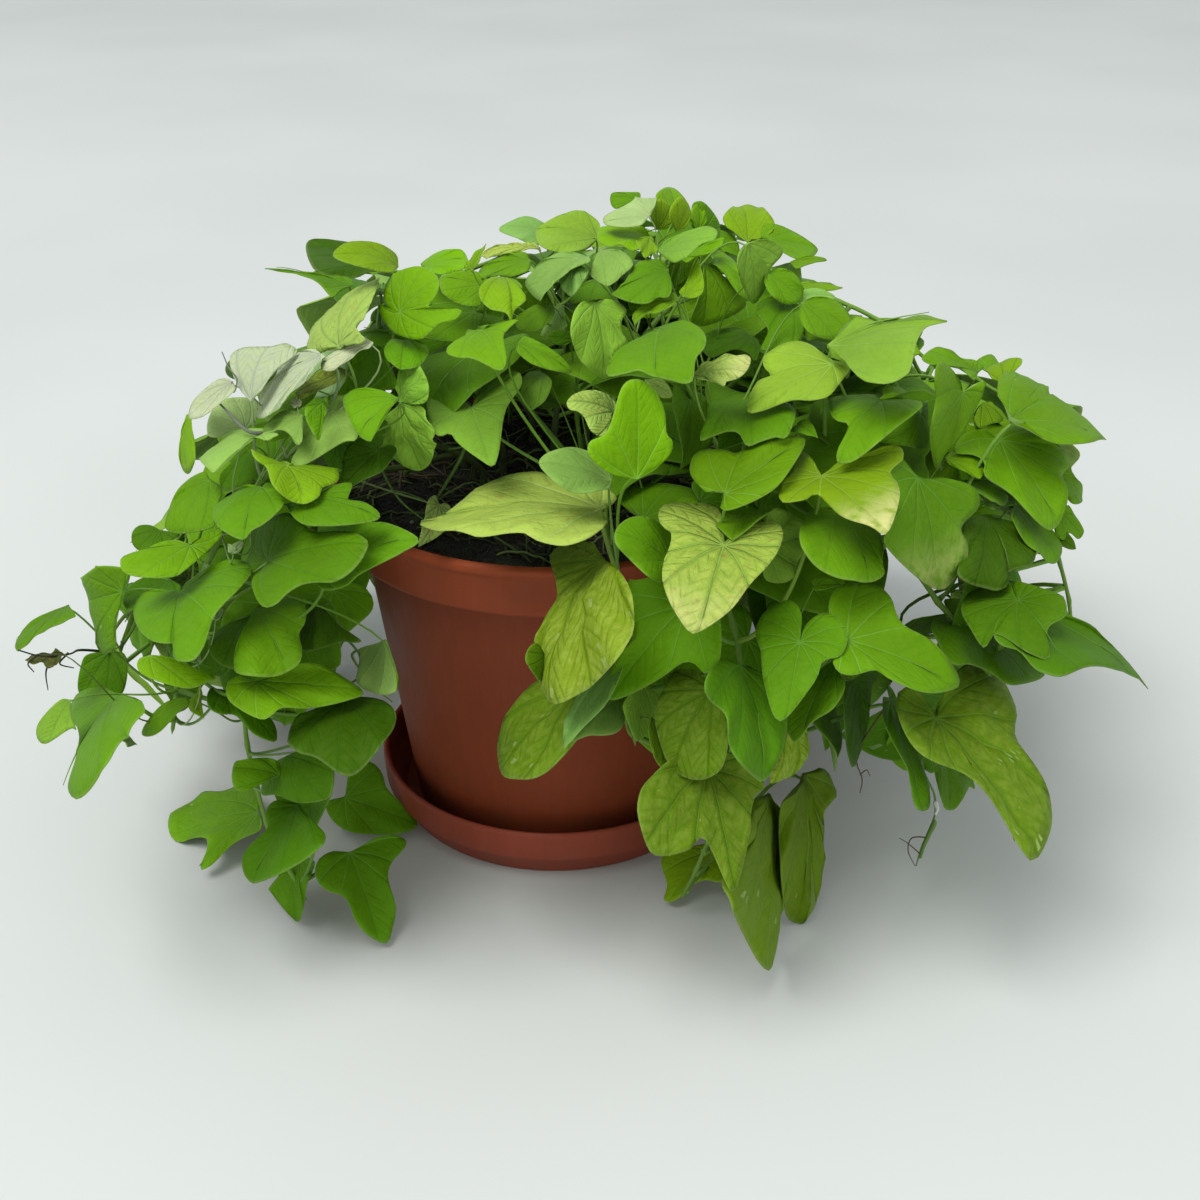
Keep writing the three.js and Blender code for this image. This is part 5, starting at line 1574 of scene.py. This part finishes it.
def littered(rng):
    angle = rng.uniform(0, 2 * pi)
    return litter["reach"] * sqrt(rng.random()) * np.array([np.cos(angle), np.sin(angle)])


# A fine root wanders over the soil. It arches up along its length and dips in at both ends.
def rootPart(rng):
    count = litter["rootPoints"]
    turns = rng.uniform(0, 2 * pi) + np.cumsum(rng.normal(0, 0.26, count))
    steps = np.stack([np.cos(turns), np.sin(turns)], -1) * rng.uniform(*litter["rootLength"]) / count
    flat = littered(rng) + np.cumsum(steps, axis=0)
    flat = flat * np.minimum(1, litter["reach"] / np.hypot(*flat.T))[:, None]
    radius, along = rng.uniform(*litter["rootRadius"]), np.linspace(0, 1, count)
    lift = litter["arch"] * rng.random() ** 2 * np.sin(pi * along) - 0.002 * np.abs(2 * along - 1) ** 4
    path = np.column_stack([flat, soilHeight(*flat.T) + 0.5 * radius + lift])
    return tubePart(path, radius * (1.1 - 0.6 * along), 5, tint=rootTints[rng.integers(4)])


# A crumb is a lump of three uneven rings. One in eight is a pale grain.
def crumbPart(rng):
    x, y = littered(rng)
    lump = turnedRings([(0.6, -0.5), (1, 0.1), (0.55, 0.8)], 6) * rng.uniform(0.75, 1.25, (3, 6, 1))
    lump = lump * rng.uniform(*litter["crumbSize"]) * (1, rng.uniform(0.6, 1), rng.uniform(0.5, 0.9))
    tint = crumbTints[3 if rng.random() < litter["paleShare"] else rng.integers(3)]
    return closedRings(lump + (x, y, soilHeight(x, y) + 0.0004), tint=tint)


rng = np.random.default_rng(31)
addPiece("surface_roots", [rootPart(rng) for _ in range(litter["roots"])], [rootBark])
addPiece("soil_crumbs", [crumbPart(rng) for _ in range(litter["crumbs"])], [rootBark])

# Bare stems and tendrils: the sheet places each runs through, the crown's layer it lies in, its radius in
# millimetres and its tint. A third number puts a place at that Y, in millimetres. Each starts on what lies
# nearest to its first place, a vine, a leaf's stalk or a strand before it, unless that place has its own Y.
strandTints = {"green": (0.1, 0.19, 0.03), "grey": (0.13, 0.15, 0.11), "brown": (0.09, 0.05, 0.025),
               "white": (0.6, 0.62, 0.55), "black": (0.02, 0.022, 0.012)}
strands = [
    ([(857, 752), (857, 764), (862, 778), (860, 793)], 1, 0.5, "brown"),
    ([(860, 775), (866, 770), (870, 776)], 1, 0.35, "brown"),
    ([(922, 760), (935, 798), (935, 814), (931, 826), (922, 846), (916, 866)], 1, 0.8, "green"),
    ([(926, 838), (912, 838), (908, 850), (915, 866)], 1, 0.4, "brown"),
    ([(918, 852), (906, 842), (899, 838)], 1, 0.35, "brown"),
    ([(934, 822), (929, 834), (923, 848), (920, 858)], 1, 1.6, "green"),
    ([(935, 803), (937, 809), (935, 815)], 1, 1.5, "white"),
    ([(84, 650), (62, 655, -224), (40, 656, -230), (18, 650, -236)], 0.6, 0.7, "black"),
    ([(52, 655, -227), (46, 672, -225), (48, 690, -222)], 0, 0.5, "black"),
    ([(38, 655, -231), (28, 664, -228), (34, 672, -226)], 0, 0.5, "black"),
    ([(68, 653, -222), (60, 664, -220), (74, 668, -218)], 0, 0.5, "black"),
    ([(128, 575), (121, 592), (133, 606), (125, 622)], 0.8, 0.5, "green"),
    ([(345, 640), (365, 658), (396, 665)], 1.8, 0.9, "green"),
    ([(338, 692), (368, 676), (398, 690)], 1.8, 0.8, "green"),
    ([(352, 655), (376, 688), (392, 702)], 1.8, 0.7, "green"),
    ([(250, 432), (217, 401)], -0.15, 0.9, "grey"),
    ([(234, 392), (237, 380), (229, 368), (222, 352)], -0.15, 0.5, "grey"),
    ([(380, 465), (400, 500), (424, 520)], 3.2, 0.9, "green"),
    ([(474, 409, -118), (464, 450, -108), (446, 484, -88), (424, 517, -64)], 0, 1.0, "green"),
]

anchors = [*perches["at"], *(leaf["at"] for leaf in leaves)]


def strandPart(places, layer, radius, tint):
    points = []
    for x, y, *plane in places:
        sight = sightOf((x, y))
        depth = (plane[0] / 1000 - eye[1]) / sight[1] if plane else crownDepth(sight, layer)
        points.append(eye + sight * depth)
    if len(places[0]) < 3:
        points.insert(0, anchors[np.argmin(np.linalg.norm(np.array(anchors) - points[0], axis=1))])
    path = smoothThrough(points, 8 * len(points))
    anchors.extend(path)
    return tubePart(path, np.linspace(1.3, 0.6, len(path)) * radius / 1000, 6, tint=strandTints[tint])


addPiece("tendrils", [strandPart(*strand) for strand in strands], [stemSkin])
print("roots, crumbs and tendrils made")

studio = {
    "floor": 16, "floorColour": (0.55, 0.57, 0.54, 1), "floorSpots": (0.59, 0.61, 0.58, 1),
    "world": (0.92, 0.96, 1.0, 1), "worldStrength": 0.72, "aim": (0, 0, 0.2),
    "key": {"place": (-2.2, -2.6, 6.5), "size": 4.5, "power": 440},
    "fill": {"place": (3.5, -3.0, 2.6), "size": 3, "power": 35},
}

floorMaterial, tree, shader, place = newMaterial("paleFloor", Roughness=0.85)
cloudy = easing(tree, noiseAt(tree, place, 1.3, 2), 0.3, 0.7)
connect(tree, shader, {"Base Color": blend(tree, cloudy, studio["floorColour"], studio["floorSpots"])})
rows = np.linspace(-1, 1, 9) * studio["floor"] / 2
floorX, floorY = np.meshgrid(rows, rows)
floorPoints = np.stack([floorX, floorY, floorX * 0], -1).reshape(-1, 3)
floorMesh = bpy.data.meshes.new("floor")
floorMesh.from_pydata(floorPoints.tolist(), [], gridFaces(9, 9)[0].tolist())
floorMesh.materials.append(floorMaterial)
floor = bpy.data.objects.new("floor", floorMesh)
scene.collection.objects.link(floor)

for name in ("key", "fill"):
    lamp = bpy.data.lights.new(name, "AREA")
    lamp.shape, lamp.size, lamp.energy = "DISK", studio[name]["size"], studio[name]["power"]
    light = bpy.data.objects.new(name, lamp)
    x, y, z = np.array(studio["aim"]) - studio[name]["place"]
    light.location = studio[name]["place"]
    light.rotation_euler = (np.arctan2(hypot(x, y), -z), 0, np.arctan2(-x, y))
    scene.collection.objects.link(light)

world = bpy.data.worlds.new("studio")
world.use_nodes = True
sky = world.node_tree.nodes["Background"].inputs
sky["Color"].default_value = studio["world"]
sky["Strength"].default_value = studio["worldStrength"]
scene.world = world
scene.view_settings.view_transform = "Standard"
print("studio lit")

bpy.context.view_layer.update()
